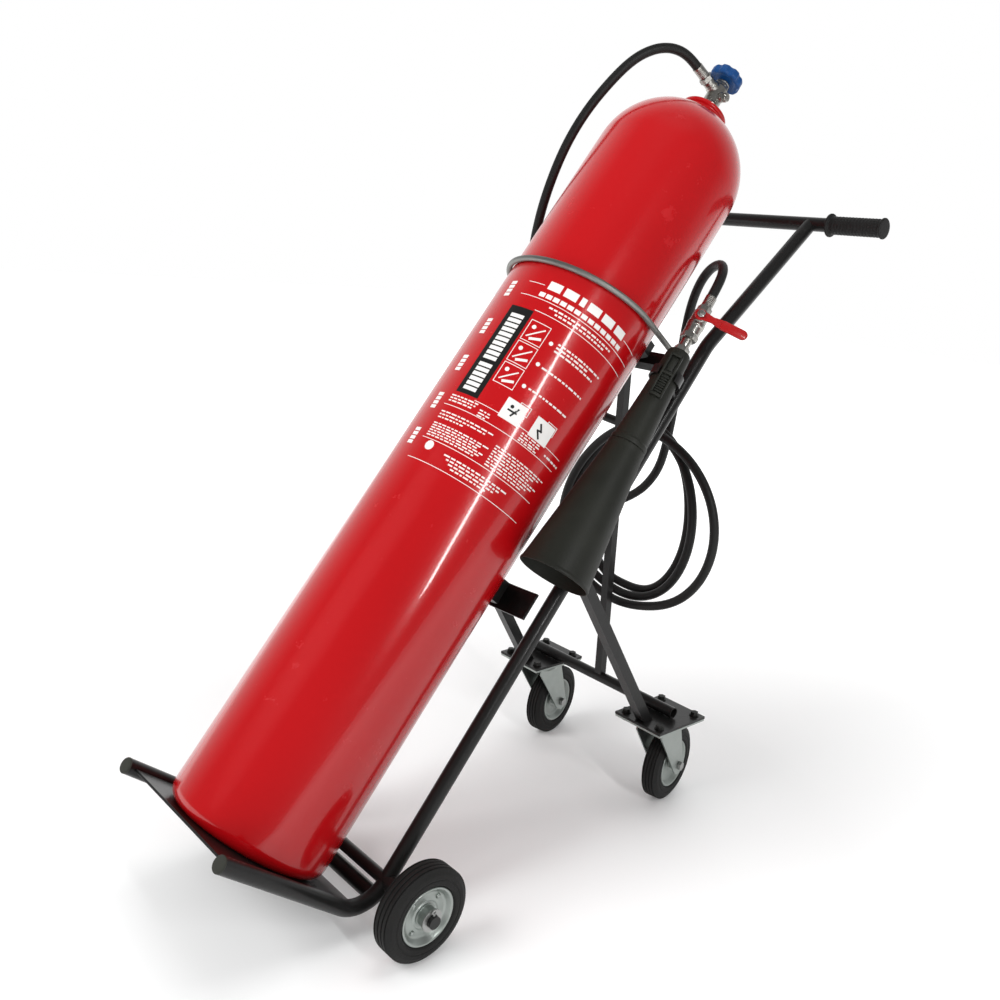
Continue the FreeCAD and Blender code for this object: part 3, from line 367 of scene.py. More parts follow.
finishes.update({
    "red_cylinder": paint("sprayedRed", (0.35, 0.0014, 0.003), (0.46, 0.004, 0.007), 0.17, 0.45, 1.0, 0.63),
    "black_frame": paint("sprayedBlack", (0.005, 0.005, 0.005), (0.016, 0.0155, 0.015), 0.30, 0.10, 1.6,
                         0.62),
    "red_lever": paint("dippedRed", (0.26, 0.003, 0.004), (0.38, 0.007, 0.008), 0.30, 0.25, 0.8, 0.66),
    "end_caps": moulded("darkCap", (0.020, 0.021, 0.017), (0.042, 0.043, 0.036), 0.55, 0.10, 300.0, 0.2),
    "grip_rubber": moulded("gripRubber", (0.005, 0.005, 0.005), (0.015, 0.015, 0.0145), 0.52, 0.28, 420.0,
                           0.3),
    "hose_rubber": moulded("hoseRubber", (0.005, 0.005, 0.005), (0.015, 0.015, 0.0145), 0.42, 0.20, 500.0,
                           0.3),
    "horn_plastic": moulded("hornPlastic", (0.007, 0.0075, 0.006), (0.019, 0.020, 0.015), 0.44, 0.14, 330.0,
                            0.3),
    "blue_handwheel": moulded("blueKnob", (0.003, 0.028, 0.115), (0.012, 0.085, 0.270), 0.34, 0.10, 300.0,
                              0.3),
    "seat_plastic": moulded("seatPlastic", (0.70, 0.70, 0.68), (0.80, 0.80, 0.78), 0.4, 0.05),
    "wheel_rubber": moulded("tyreRubber", (0.005, 0.005, 0.005), (0.018, 0.0175, 0.0165), 0.60, 0.35, 260.0,
                            0.5),
    "zinc_fasteners": metal("zincPlate", (0.26, 0.27, 0.26), (0.48, 0.48, 0.47), 0.26, 0.10, 0.14),
    "zinc_sheet": metal("pressedZinc", (0.24, 0.27, 0.25), (0.47, 0.50, 0.48), 0.27, 0.12, 0.16),
    "galvanised_rod": metal("galvanised", (0.20, 0.20, 0.19), (0.36, 0.36, 0.34), 0.44, 0.30, 0.12),
    "nickel_valve": metal("nickel", (0.28, 0.27, 0.25), (0.52, 0.51, 0.48), 0.20, 0.14, 0.12),
    "dip_tube_alloy": metal("dipTube", (0.60, 0.60, 0.60), (0.75, 0.75, 0.76), 0.35, 0.08),
})
whitePrint = moulded("whitePrint", (0.66, 0.64, 0.62), (0.80, 0.79, 0.78), 0.34, 0.02, 200.0)
blackPrint = moulded("blackPrint", (0.006, 0.006, 0.006), (0.014, 0.014, 0.014), 0.30, 0.02, 200.0)
darkBolt = metal("darkBolt", (0.025, 0.025, 0.024), (0.07, 0.07, 0.068), 0.42, 0.15, 0.1)
print("finishes made:", len(finishes) + 3)


# hose: the route's points in metres, its turns by a loop

feedRoute = [
    (-.0146, .3878, 1.3687), (-.0192, .3722, 1.3804), (-.0268, .3507, 1.3895), (-.0368, .3279, 1.3912),
    (-.0490, .3030, 1.3843), (-.0648, .2750, 1.3652), (-.0840, .2475, 1.3290), (-.1100, .2190, 1.2750),
    (-.1310, .1990, 1.2180), (-.1490, .1870, 1.1550), (-.1650, .1810, 1.0860), (-.1770, .1830, 1.0140),
    (-.1840, .1940, .9450), (-.1880, .2140, .8840), (-.1890, .2430, .8310), (-.1840, .2770, .7900),
    (-.1670, .3060, .7580), (-.1310, .3260, .7340), (-.0840, .3330, .7230)]
tailRoute = [
    (-.0800, .3850, .4000), (-.1060, .3885, .4220), (-.1210, .3920, .4520), (-.1230, .3960, .4870),
    (-.1105, .3995, .5190), (-.0860, .4025, .5420), (-.0510, .4040, .5620), (-.0170, .4050, .5900),
    (.0120, .4040, .6340), (.0210, .4050, .6840), (.0260, .4040, .7360), (.0290, .4045, .8010),
    (.0280, .4025, .8670), (.0320, .4005, .9180), (.0430, .3945, .9630), (.0610, .3870, .9990),
    (.0854, .3769, 1.0225), (.1133, .3620, 1.0321), (.1385, .3409, 1.0291), (.1564, .3171, 1.0147),
    (.1636, .2955, .9922), (.1643, .2835, .9762)]
hoseSettings = {"diameter": 0.017, "length": 4.57, "start": 103.0, "perTurn": 14, "steps": 36,
                "middle": (0.006, 0.543), "front": 0.334, "turnGap": 0.0184}


def coilTurns():
    # each point goes clockwise by a step of the turn, and back by a share of a hose's width;
    # the right side tightens after the first half turn, and the left side leans
    points = []
    middleX, middleZ = hoseSettings["middle"]
    for step in range(hoseSettings["steps"] + 1):
        turns = step / hoseSettings["perTurn"]
        angle = math.radians(hoseSettings["start"] - 360 * turns)
        across, up = math.cos(angle), math.sin(angle)
        right = 0.206 if turns < 0.5 else 0.140 if turns < 1.5 else 0.116
        wide = right if across > 0 else 0.188 - 0.0035 * turns - 0.040 * up
        high = 0.180 if up > 0 else 0.188 - 0.012 * turns
        points.append((middleX + wide * across, hoseSettings["front"] + hoseSettings["turnGap"] * turns,
                       middleZ + high * up))
    return points


route = feedRoute + coilTurns() + tailRoute
curve = bpy.data.curves.new("hose", "CURVE")
curve.dimensions = "3D"
spline = curve.splines.new("NURBS")
spline.points.add(len(route) - 1)
spline.points.foreach_set("co", np.column_stack([route, np.ones(len(route))]).ravel())
spline.order_u = 3
spline.use_endpoint_u = True
curve.bevel_depth = hoseSettings["diameter"] / 2
curve.bevel_resolution = 6
curve.resolution_u = 8
curve.use_fill_caps = True
curve.materials.append(finishes["hose_rubber"])
hose = bpy.data.objects.new("hose", curve)
bpy.context.scene.collection.objects.link(hose)
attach(hose, "trolley")
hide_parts("hose_feed", "hose_coil", "hose_tail")


def ferrule(name, node, place, long):
    # a crimped sleeve: radius 9.6 with five pressed rings 0.7 deep, and a hexagon nut behind it
    z = np.linspace(0, long, 60)
    pressed = 0.7 * np.clip(np.sin(np.clip((z - 4) / (long - 7), 0, 1) * 5 * np.pi) ** 2 * 1.6 - 0.3, 0, 1)
    sleeve = np.column_stack([9.6 - pressed, z])
    profile = np.concatenate([[(0, 0), (8.8, 0)], sleeve[1:-1], [(8.8, long), (0, long)]])
    nut = moved(place, 0, 0, -9.9)
    piece = makePiece(name, [turnedSolid(profile, place, 64), hexSolid(22, 9.8, nut)], [node])
    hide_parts(node)
    return piece


outletSettings = {"turn": 13.4, "height": 1508.0, "ferrule": 40.0, "hornFerrule": 530.1}
outletTurn = math.radians(outletSettings["turn"])
outletWay = -acrossWay * math.sin(outletTurn) - backWay * math.cos(outletTurn)
outlet = placeAt(moved(lean, 0, 0, outletSettings["height"])[:3, 3], outletWay, leanAxis)
valveFerrule = ferrule("valveFerrule", "valve_ferrule", moved(outlet, 0, 0, outletSettings["ferrule"]), 23.0)
hornFerrule = ferrule("hornFerrule", "horn_ferrule", moved(horn, 0, 0, outletSettings["hornFerrule"]), 21.9)
print("hose laid:", len(route), "points")


# gas cylinder, neck collar and cylinder valve, in the lean place

cylinderSettings = {"radius": 133.5, "corner": 24.0, "shoulder": 1308.0, "foot": 14.0}


def arcPoints(middle, radius, start, end, steps):
    # (r, z) on a circle, by degrees from the r direction
    t = np.radians(np.linspace(start, end, steps + 1))
    return np.column_stack([middle[0] + radius * np.cos(t), middle[1] + radius * np.sin(t)])


def cylinderProfile(settings):
    # dished foot, rounded corner, straight wall, hemisphere until it meets the neck's fillet, neck
    radius, corner, shoulder = settings["radius"], settings["corner"], settings["shoulder"]
    foot = [(0.0, settings["foot"]), (60.0, 10.5), (95.0, 3.6)]
    low = arcPoints((radius - corner, corner), corner, -90, 0, 12)
    wall = np.column_stack([np.full(41, radius), np.linspace(corner, shoulder, 41)])[1:-1]
    dome = arcPoints((0, shoulder), radius, 0, 73.5, 40)
    fillet = softened([dome[-1], (32.6, shoulder + 129.8), (32.0, 1444.0)], 8, 6)[1:-1]
    neck = [(32.0, 1445.0), (32.0, 1460.6), (30.8, 1461.8), (13.0, 1462.0), (0.0, 1462.0)]
    return np.concatenate([foot, low, wall, dome, fillet, neck])


cylinder = makePiece("gasCylinder", [turnedSolid(cylinderProfile(cylinderSettings), lean, 192)],
                     ["cylinder_shell"])
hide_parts("cylinder_shell")

collarCorners = [(32.05, 1426.2), (52.0, 1429.4), (45.6, 1435.6), (41.8, 1440.6), (41.2, 1446.4),
                 (45.0, 1449.4), (45.0, 1454.6), (42.4, 1456.9), (32.05, 1456.9)]
collar = makePiece("neckCollar", [turnedSolid(softened(collarCorners, 1.6, 4, closed=True), lean, 96,
                                              closed=True)], ["neck_ring"], sharp=50)
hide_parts("neck_ring")

valveSettings = {"hexFlats": 34.0, "barrel": 16.0}


def valveSolids():
    # hexagon, waisted barrel with a rolled bead, bonnet with a gland nut, and the outlet's boss
    flats, barrel = valveSettings["hexFlats"], valveSettings["barrel"]
    body = [(0, 1473), (17.6, 1473), (18.4, 1475.4), (17.2, 1478), (barrel, 1479.5), (barrel, 1516),
            (15.2, 1519), (13.5, 1520.4), (0, 1520.4)]
    gland = [(0, 1526), (12.6, 1526), (13.4, 1527), (13.4, 1529.4), (12.4, 1530.4), (4.3, 1530.4),
             (0, 1530.4)]
    boss = [(0, 0), (12.6, 0), (12.6, 17), (11, 19.5), (11, 21.5), (10.4, 22), (11, 22.5), (11, 29.5),
            (0, 30)]
    side = placeAt(moved(lean, 0, 0, 1496.0)[:3, 3], acrossWay, leanAxis)
    return [hexSolid(flats, 12, moved(lean, 0, 0, 1462.2)), turnedSolid(softened(body, 0.8, 3), lean, 72),
            hexSolid(25.5, 6.4, moved(lean, 0, 0, 1520.2)), turnedSolid(softened(gland, 0.4, 2), lean, 64),
            turnedSolid(softened(boss, 0.5, 2), outlet, 64),
            turnedSolid(softened([(0, 0), (9.2, 0), (9.2, 18), (8, 20), (8, 21.9), (0, 21.9)], 0.8, 3), side,
                        48)]


valve = makePiece("cylinderValve", valveSolids(), ["valve_body"])
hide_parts("valve_body")
plugPlace = placeAt(moved(lean, 22.0, 0, 1496.0)[:3, 3], acrossWay, leanAxis)
plugCap = [(0, 7.4), (5.4, 7.4), (5.4, 7.9), (4.6, 8.0), (2.0, 8.0), (1.6, 7.0), (0, 7.0)]
plug = makePiece("burstDiscPlug", [hexSolid(15, 7.6, plugPlace), turnedSolid(plugCap, plugPlace, 32)],
                 ["burst_disc_plug"])
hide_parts("burst_disc_plug")

knobSettings = {"radius": 31.0, "low": 1532.0, "high": 1550.0, "scoops": 8, "scoopRadius": 9.0,
                "scoopMiddle": 37.0}


def knobShape(r, z, t):
    # the rim is cut by round scoops: along angle u from a scoop's middle line the cut's near side is
    # m cos u - sqrt(q^2 - (m sin u)^2), blended with the rim where it leaves the scoop
    middle, scoop, count = knobSettings["scoopMiddle"], knobSettings["scoopRadius"], knobSettings["scoops"]
    step = 2 * np.pi / count
    u = (t + step / 2) % step - step / 2
    inside = scoop ** 2 - (middle * np.sin(u)) ** 2
    cut = np.where(inside > 0, middle * np.cos(u) - np.sqrt(np.clip(inside, 0, None)), 99.0)
    width = 1.6
    low = np.minimum(knobSettings["radius"], cut)
    blend = np.clip(0.5 + (cut - knobSettings["radius"]) / (2 * width), 0, 1)
    rim = np.where(np.abs(cut - knobSettings["radius"]) < width, low - width * blend * (1 - blend), low)
    share = np.clip((r - 20.0) / (knobSettings["radius"] - 20.0), 0, 1)
    return r - share * (knobSettings["radius"] - rim)


def knobSolids():
    # a rounded rim, a dished top with a raised hub, and a hollow underside
    low, high = knobSettings["low"], knobSettings["high"]
    section = [(5.0, low + 0.2), (9.0, low + 0.2), (10.5, low + 1.2), (19.0, low + 1.6), (23.0, low),
               (28.4, low), (31.0, low + 3.0), (31.0, high - 3.4), (27.8, high), (22.6, high),
               (19.6, high - 2.2), (18.6, high - 6), (12.4, high - 6.2), (10.2, high - 6), (5.0, high - 6)]
    return [turnedSolid(softened(section, 2.2, 5, closed=True), lean, 192, closed=True, shape=knobShape)]


knob = makePiece("handwheelKnob", knobSolids(), ["handwheel"], sharp=55)
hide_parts("handwheel")
knobNut = makePiece("handwheelNut", [hexSolid(13, 6, moved(lean, 0, 0, 1544.0), bore=4.05)],
                    ["handwheel_nut"])
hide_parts("handwheel_nut")
spindleSquare = [(-3.5, -3.5), (3.5, -3.5), (3.5, 3.5), (-3.5, 3.5)]
spindle = makePiece("valveSpindle", [turnedSolid([(0, 1498), (4, 1498), (4, 1554.8), (3.0, 1556), (0, 1556)],
                                                 lean, 32),
                                     outlineSolid(softened(spindleSquare, 0.6, 3, closed=True), 12,
                                                  moved(lean, 0, 0, 1532), 0.4)], ["valve_spindle"])
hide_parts("valve_spindle")
print("cylinder and valve made")


# printed panel on the cylinder: thin curved bars at (angle from the front in degrees, height)

labelSettings = {"above": 0.25, "below": 0.10, "station": 6.0, "seed": 11, "gap": 1.0}


def stroke(start, end, wide, lift=0.0):
    # a bar between two places on the unrolled cylinder, u = R a and v = height, wide across its run;
    # laid back by x = r sin(u / R), n = -r cos(u / R) at a radius below the paint and one above it
    radius = cylinderSettings["radius"]
    ends = np.array([(math.radians(start[0]) * radius, start[1]), (math.radians(end[0]) * radius, end[1])])
    stations = abs(ends[1, 0] - ends[0, 0]) / labelSettings["station"]
    count = len(wide) if np.ndim(wide) else int(stations) + 2
    run = ends[1] - ends[0]
    middle = ends[0] + np.linspace(0, 1, count)[:, None] * run
    halves = (np.broadcast_to(wide, count) / 2)[:, None]
    sideways = np.array([-run[1], run[0]]) / np.linalg.norm(run) * halves
    edges = np.stack([middle - sideways, middle - sideways, middle + sideways, middle + sideways], 1)
    inner, outer = radius - labelSettings["below"], radius + labelSettings["above"] + lift
    r = np.array([inner, outer, outer, inner])
    turn = edges[..., 0] / radius
    points, faces = gridSolid(inWorld(lean, np.stack([r * np.sin(turn), -r * np.cos(turn), edges[..., 1]],
                                                     -1)))
    caps = [[3, 2, 1, 0], [4 * (count - 1) + corner for corner in range(4)]]
    return points, [*faces.tolist(), *caps]


def bar(left, right, low, high, lift=0.0):
    return stroke((left, (low + high) / 2), (right, (low + high) / 2), high - low, lift)


def disc(angle, height, radius, lift=0.0):
    # a bar whose width follows 2 sqrt(1 - s^2) along its run
    s = np.linspace(-0.995, 0.995, 15)
    turn = math.degrees(radius / cylinderSettings["radius"])
    return stroke((angle - turn, height), (angle + turn, height), 2 * radius * np.sqrt(1 - s ** 2), lift)


def outlined(left, right, low, high, wide=1.1, lift=0.0):
    # four bars round a box
    turn = math.degrees(wide / cylinderSettings["radius"])
    return [bar(left, right, low, low + wide, lift), bar(left, right, high - wide, high, lift),
            bar(left, left + turn, low + wide, high - wide, lift),
            bar(right - turn, right, low + wide, high - wide, lift)]


def printRow(rng, left, right, low, high):
    # short bars of uneven length in place of a line of small print
    bars, at = [], left
    while at < right - 1.2:
        long = min(rng.uniform(1.4, 4.6), right - at)
        bars.append(bar(at, at + long, low, high))
        at += long + labelSettings["gap"]
    return bars


def whiteMarks():
    rng = np.random.default_rng(labelSettings["seed"])
    marks = [bar(left, right, height - 0.5, height + 0.5) for left, right, height in (
        (4.6, 18, 964), (89, 108, 964), (4, 107, 939), (22, 106, 918), (21, 98, 740), (0, 97, 718),
        (0, 95, 655), (-2, 94, 617))]
    marks += [bar(left, right, 967 - 7.5, 967 + 7.5) for left, right in (
        (21, 31), (33.5, 43.5), (46, 50), (52.5, 62.5), (65, 75), (77.5, 87))]
    marks += [bar(left, left + 4.4, 943.6, 951.4) for left in np.arange(18, 86, 5.6)]
    for low in (864, 823, 782):
        marks += outlined(24, 39.5, low, low + 38)
        marks.append(disc(28.5, low + 27, 3.6))
        marks.append(stroke((26.6, low + 8), (36.8, low + 30), 2.2))
        marks.append(stroke((29.5, low + 6), (37.4, low + 13), 4.4))
    marks += [disc(44.5, height, 3.4) for height in (880, 840, 798)]
    marks += [bar(40, 55.4, 736, 771), bar(63.6, 79.7, 737, 772)]
    marks += outlined(49, 57.4, 757, 774, 1.0, 0.12) + outlined(72, 80.6, 758, 775, 1.0, 0.12)
    rows = [(49, 88, 884, 887), (49, 78, 877.5, 880.5), (49, 84, 871, 874), (48, 84, 837, 840),
            (48, 82, 797, 800), (28, 38, 729, 731), (28, 38, 724, 726), (28, 36, 719.5, 721.5),
            (83, 100, 727, 730)]
    rows += [(60, right, low, low + 2) for low, right in ((733, 76), (728.5, 78), (724, 74), (720.5, 76))]
    rows += [(2, right, low, low + 2.2) for low, right in ((735, 25), (730, 24), (725, 22), (704, 47),
                                                           (698.5, 40), (693, 24))]
    rows += [(2, 47 - (k % 3) * 3, 682 - 4.4 * k, 684 - 4.4 * k) for k in range(6)]
    rows += [(50, 95 - (k % 4) * 4, 693 - 4.8 * k, 695 - 4.8 * k) for k in range(8)]
    rows += [(24 + 3 * k, 75 - 5 * k, 640 - 5.4 * k, 642.4 - 5.4 * k) for k in range(4)]
    rows += [(30, 84, 930, 933), (36, 78, 923.5, 926.5)]
    for row in rows:
        marks += printRow(rng, *row)
    marks += [bar(7, 18, low, low + 6.6) for low in (*np.arange(752, 800, 9.2), *np.arange(812, 903, 9.2))]
    for height in (946, 869, 795, 721, 653):
        marks += [bar(-12.4, -6.6, height + step - 3, height + step + 3) for step in (-12, -4, 4, 12)]
    marks.append(disc(10, 645, 8.0))
    return [(points, faces) for points, faces in marks]


def blackMarks():
    # the signs inside the white squares; the dark band, whose marks stand on it, is made as a piece of its own
    inSquares = [stroke((43.4, 753), (50.6, 753), 3.0, 0.12), stroke((47.2, 745), (50.4, 762), 3.0, 0.12),
                 disc(45.4, 760, 3.0, 0.12), stroke((68, 764), (71.6, 752), 3.2, 0.12),
                 stroke((71.6, 754), (67.8, 752), 3.0, 0.12), stroke((68, 753), (72, 741), 3.2, 0.12)]
    return inSquares


white = makePiece("labelWhite", whiteMarks(), ["cylinder_shell"], finish=whitePrint)
makePiece("labelBand", [bar(3, 22, 744, 915, -0.12)], ["cylinder_shell"], finish=blackPrint)
makePiece("labelSigns", blackMarks(), ["cylinder_shell"], finish=blackPrint)
print("label made:", len(white.data.polygons), "faces")


# horn, ball valve and lever

hornSettings = {"grip": 336.0, "turn": 37.0, "pivot": 503.0}


def hornLower():
    outer = [(59.2, 0.2), (61.0, 1.0), (61.0, 4.6), (59.6, 7.5), (57.5, 24)]
    inner = [(28.0, 245.8), (28.0, 240), (54.4, 22), (57.2, 6), (58.0, 0.2)]
    return turnedSolid(softened(outer + [(32.3, 236), (32.3, 245.8)] + inner, 1.6, 4, closed=True), horn, 128,
                       closed=True)


def hornUpper():
    outer = [(28.2, 246.4), (31.6, 246.4), (32.0, 248.5), (32.0, 255), (30.2, 257.5), (24.9, 340),
             (20.8, 428), (19.0, 434.6)]
    inner = [(9.3, 435.0), (9.3, 423.5), (17.0, 419), (24, 300), (28.2, 252)]
    return turnedSolid(softened(outer + inner, 2.0, 4, closed=True), horn, 128, closed=True)


def gripBlock():
    # base block, a raised rim round a recess, cross ribs at one end and a boss at the other
    turned = turnedPlace(horn, hornSettings["turn"])
    face = placeAt(moved(turned, 0, -13, hornSettings["grip"] + 41)[:3, 3], -turned[:3, 1], turned[:3, 2])
    solids = [roundedBlock(82, 22, 13.4, face, 3.0, 0.8)]
    solids += [roundedBlock(82, 3.4, 5.2, moved(face, 0, side * 9.2, 12.7), 1.4, 0.7) for side in (1, -1)]
    solids += [roundedBlock(4.4, 21, 5.2, moved(face, end * 38.6, 0, 12.7), 1.4, 0.7) for end in (1, -1)]
    solids += [roundedBlock(4.0, 19, 5.0, moved(face, 3, 0, 12.7), 1.2, 0.7)]
    solids += [roundedBlock(2.0, 17.6, 3.4, moved(face, at, 0, 12.7), 0.8, 0.6)
               for at in np.arange(-32, 0, 4.6)]
    solids += [roundedBlock(24, 9.6, 2.6, moved(face, 20.5, 0, 12.7), 4.4, 0.8)]
    return solids


lowerHorn = makePiece("hornLower", [hornLower()], ["horn_lower"])
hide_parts("horn_lower")
upperHorn = makePiece("hornUpper", [hornUpper(), *gripBlock()], ["horn_upper"])
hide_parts("horn_upper")
nipple = makePiece("hornNipple", [
    turnedSolid([(0, 423.2), (8.6, 423.2), (9.1, 424), (9.1, 462.8), (0, 462.9)], horn, 48),
    hexSolid(24, 9.8, moved(horn, 0, 0, 436.1))], ["horn_nipple"])
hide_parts("horn_nipple")

hornTurn = math.radians(hornSettings["turn"])
stemOut = horn[:3, 0] * math.sin(hornTurn) - horn[:3, 1] * math.cos(hornTurn)
leverWay = horn[:3, 0] * math.cos(hornTurn) + horn[:3, 1] * math.sin(hornTurn)
stem = placeAt(moved(horn, 0, 0, hornSettings["pivot"])[:3, 3], stemOut, leverWay)
barrelProfile = [(0, 471), (12.6, 471), (14, 473.5), (14, 487), (15.2, 489), (15.2, 496), (14, 498),
                 (14, 511), (12.8, 513), (0, 513)]
ballValve = makePiece("ballValveBody", [hexSolid(27, 9.8, moved(horn, 0, 0, 463.2)),
                                        turnedSolid(softened(barrelProfile, 0.8, 3), horn, 72),
                                        hexSolid(25, 8.6, moved(horn, 0, 0, 512.2)),
                                        turnedSolid(softened([(0, 4), (9.4, 4), (9.4, 14.4), (8, 15.6),
                                                              (8, 19.9), (0, 19.9)], 0.6, 3), stem, 48)],
                      ["ball_valve_body"])
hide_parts("ball_valve_body")

leverSettings = {"hub": 10.0, "thick": 3.0, "plane": 22.0}


def leverOutline(grow=0.0, start=None):
    # round the hub, then a neck that widens to a hand grip with a rounded tip
    t = np.radians(np.linspace(50, 310, 25))
    hub = leverSettings["hub"] * np.column_stack([np.cos(t), np.sin(t)])
    tip = np.radians(np.linspace(-90, 90, 13))
    near = (22, 34) if start is None else (start, start + 3)
    low = [(near[0], -5.6 - grow), (near[1], -7.8 - grow), (76, -8 - grow)]
    end = np.column_stack([76 + (8 + grow) * np.cos(tip), (8 + grow) * np.sin(tip)])
    high = [(x, -y) for x, y in low[::-1]]
    parts = [low[:-1], end, high[1:]] if start is not None else [hub, low[:-1], end, high[1:]]
    return np.concatenate([np.asarray(part, float) for part in parts])


lever = makePiece("lever", [outlineSolid(leverOutline(), leverSettings["thick"],
                                         moved(stem, 0, 0, leverSettings["plane"]), 0.6),
                            outlineSolid(leverOutline(0.9, 37.0), 5.6,
                                         moved(stem, 0, 0, leverSettings["plane"] - 1.3), 1.9)], ["lever"],
                  sharp=50)
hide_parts("lever")
leverNut = makePiece("leverNut", [hexSolid(13, 5, moved(stem, 0, 0, 25.3), bore=4.1)], ["lever_nut"])
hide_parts("lever_nut")
valveStem = makePiece("valveStem", [turnedSolid([(0, 8.6), (4, 8.6), (4, 31), (3.2, 32), (0, 32)], stem, 32)],
                      ["valve_stem"])
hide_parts("valve_stem")
print("horn and ball valve made")


# frame tubes, bar, grips and U-bolt

tubeSettings = {"radius": 12.7, "across": 150.7, "back": 162.1, "start": -143.3, "drop": -4.0, "bend": 60.0,
                "knee": 1082.0, "handleAngle": 49.4, "handleLong": 346.5, "reach": 295.7}


def tubeRoute(across):
    # prong, quarter bend, long straight, a slight bend at the knee and the handle
    bend, back, drop, knee = (tubeSettings[key] for key in ("bend", "back", "drop", "knee"))
    t = np.radians(np.linspace(-90, 0, 25))
    quarter = np.column_stack([back - bend + bend * np.cos(t), drop + bend + bend * np.sin(t)])
    prong = np.column_stack([np.linspace(tubeSettings["start"], back - bend, 12), np.full(12, drop)])[:-1]
    straight = np.column_stack([np.full(30, back), np.linspace(drop + bend, knee - 12, 30)])[1:]
    flat = np.concatenate([prong, quarter, straight])
    points = inWorld(lean, np.column_stack([np.full(len(flat), across), flat]))
    top = inWorld(lean, [(across, back, knee)])[0]
    angle = math.radians(tubeSettings["handleAngle"])
    handleWay = np.array([0, math.sin(angle), math.cos(angle)])
    t = np.linspace(0, 1, 9)[1:, None]
    bent = (1 - t) ** 2 * points[-1] + 2 * t * (1 - t) * top + t ** 2 * (top + handleWay * 12 * mm)
    along = np.linspace(20, tubeSettings["handleLong"], 14)[:, None] * mm
    barEnd = top + handleWay * (tubeSettings["handleLong"] + 1) * mm
    return np.concatenate([points, bent, top + handleWay * along]), barEnd


barPlaces = []
for side, sign in (("right", 1), ("left", -1)):
    points, barEnd = tubeRoute(sign * tubeSettings["across"])
    tube = makePiece("sideTube" + side.title(), [barAlong(points, np.array([1.0, 0, 0]),
                                                          tubeSettings["radius"], 40)],
                     ["side_tube_" + side, "handle_tube_" + side])
    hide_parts("side_tube_" + side, "handle_tube_" + side)
    barPlaces.append(barEnd)
barMiddle = (barPlaces[0] + barPlaces[1]) / 2
barRoute = barMiddle + np.linspace(-1, 1, 40)[:, None] * np.array([tubeSettings["reach"] * mm, 0, 0])
handleBar = makePiece("handleBar", [barAlong(barRoute, np.array([0, 0, 1.0]), tubeSettings["radius"], 40)],
                      ["handle_bar"])
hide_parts("handle_bar")

gripSettings = {"start": 190.0, "body": 16.15, "flutes": 20, "fluteDepth": 0.28}


def gripSolid(place):
    # a collar, a body with rings 0.6 mm high and shallow flutes, and an end flange
    z = np.linspace(12, 101, 150)
    rings = np.tanh(3 * np.sin(2 * np.pi * (z - 12) / 6.4))
    body = np.column_stack([gripSettings["body"] + 0.3 * rings, z])
    start = softened([(0, 0.1), (19.4, 0.1), (21, 1.4), (21, 4.2), (19.2, 5.6), (16.6, 6.4), (15.8, 11)], 0.8,
                     3)
    end = softened([(15.8, 102), (16.4, 103.4), (18.5, 104.8), (18.5, 107.4), (16.8, 108.7), (0, 108.7)], 0.9,
                   3)

    def flutes(r, z, t):
        share = np.clip((z - 12) / 2, 0, 1) * np.clip((101 - z) / 2, 0, 1)
        return r - share * gripSettings["fluteDepth"] * (0.5 + 0.5 * np.cos(gripSettings["flutes"] * t))
    return turnedSolid(np.concatenate([start, body, end]), place, 160, shape=flutes)


for side, sign in (("right", 1), ("left", -1)):
    gripPlace = placeAt(barMiddle + np.array([sign * gripSettings["start"] * mm, 0, 0]), (sign, 0, 0),
                        leanAxis)
    grip = makePiece("grip" + side.title(), [gripSolid(gripPlace)], ["grip_" + side], sharp=60)
    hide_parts("grip_" + side)

ringSettings = {"radius": 139.8, "rod": 5.0, "height": 1018.0, "tip": 5.7, "close": 5.3, "leg": 182.0,
                "washer": 164.65, "nut": 166.6}
tip = math.radians(ringSettings["tip"])
ringPlace = placeAt(moved(lean, 0, 0, ringSettings["height"])[:3, 3],
                    leanAxis * math.cos(tip) - backWay * math.sin(tip), acrossWay)


def ringLeg(sign, along):
    # a place on a leg, its Z to the threaded end
    close = math.radians(ringSettings["close"])
    ahead = ringPlace[:3, 0] * -sign * math.sin(close) + ringPlace[:3, 1] * math.cos(close)
    start = moved(ringPlace, sign * ringSettings["radius"] * math.cos(close),
                  ringSettings["radius"] * math.sin(close))
    return placeAt(start[:3, 3] + ahead * along * mm, ahead, ringPlace[:3, 2])


t = np.radians(np.linspace(ringSettings["close"], -180 - ringSettings["close"], 121))
arc = inWorld(ringPlace, ringSettings["radius"] * np.column_stack([np.cos(t), np.sin(t), np.zeros(121)]))
legRuns = [np.array([ringLeg(sign, along)[:3, 3] for along in np.linspace(ringSettings["leg"], 4, 24)])
           for sign in (1, -1)]
uBolt = makePiece("uBolt", [barAlong(np.concatenate([legRuns[0], arc, legRuns[1][::-1]]), ringPlace[:3, 2],
                                     ringSettings["rod"], 28, 0.8)], ["u_bolt"])
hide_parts("u_bolt")
nuts = []
for sign in (1, -1):
    nuts.append(turnedSolid(softened([(5.1, 0), (10, 0), (10, 1.9), (5.1, 1.9)], 0.4, 2, closed=True),
                            ringLeg(sign, ringSettings["washer"]), 48, closed=True))
    nuts.append(hexSolid(17, 7.9, ringLeg(sign, ringSettings["nut"]), bore=5.1))
uBoltNuts = makePiece("uBoltNuts", nuts, ["u_bolt_nuts"])
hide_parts("u_bolt_nuts")
print("tubes, grips and U-bolt made")


# wheels: tyre and rim sections turned about each wheel's axle

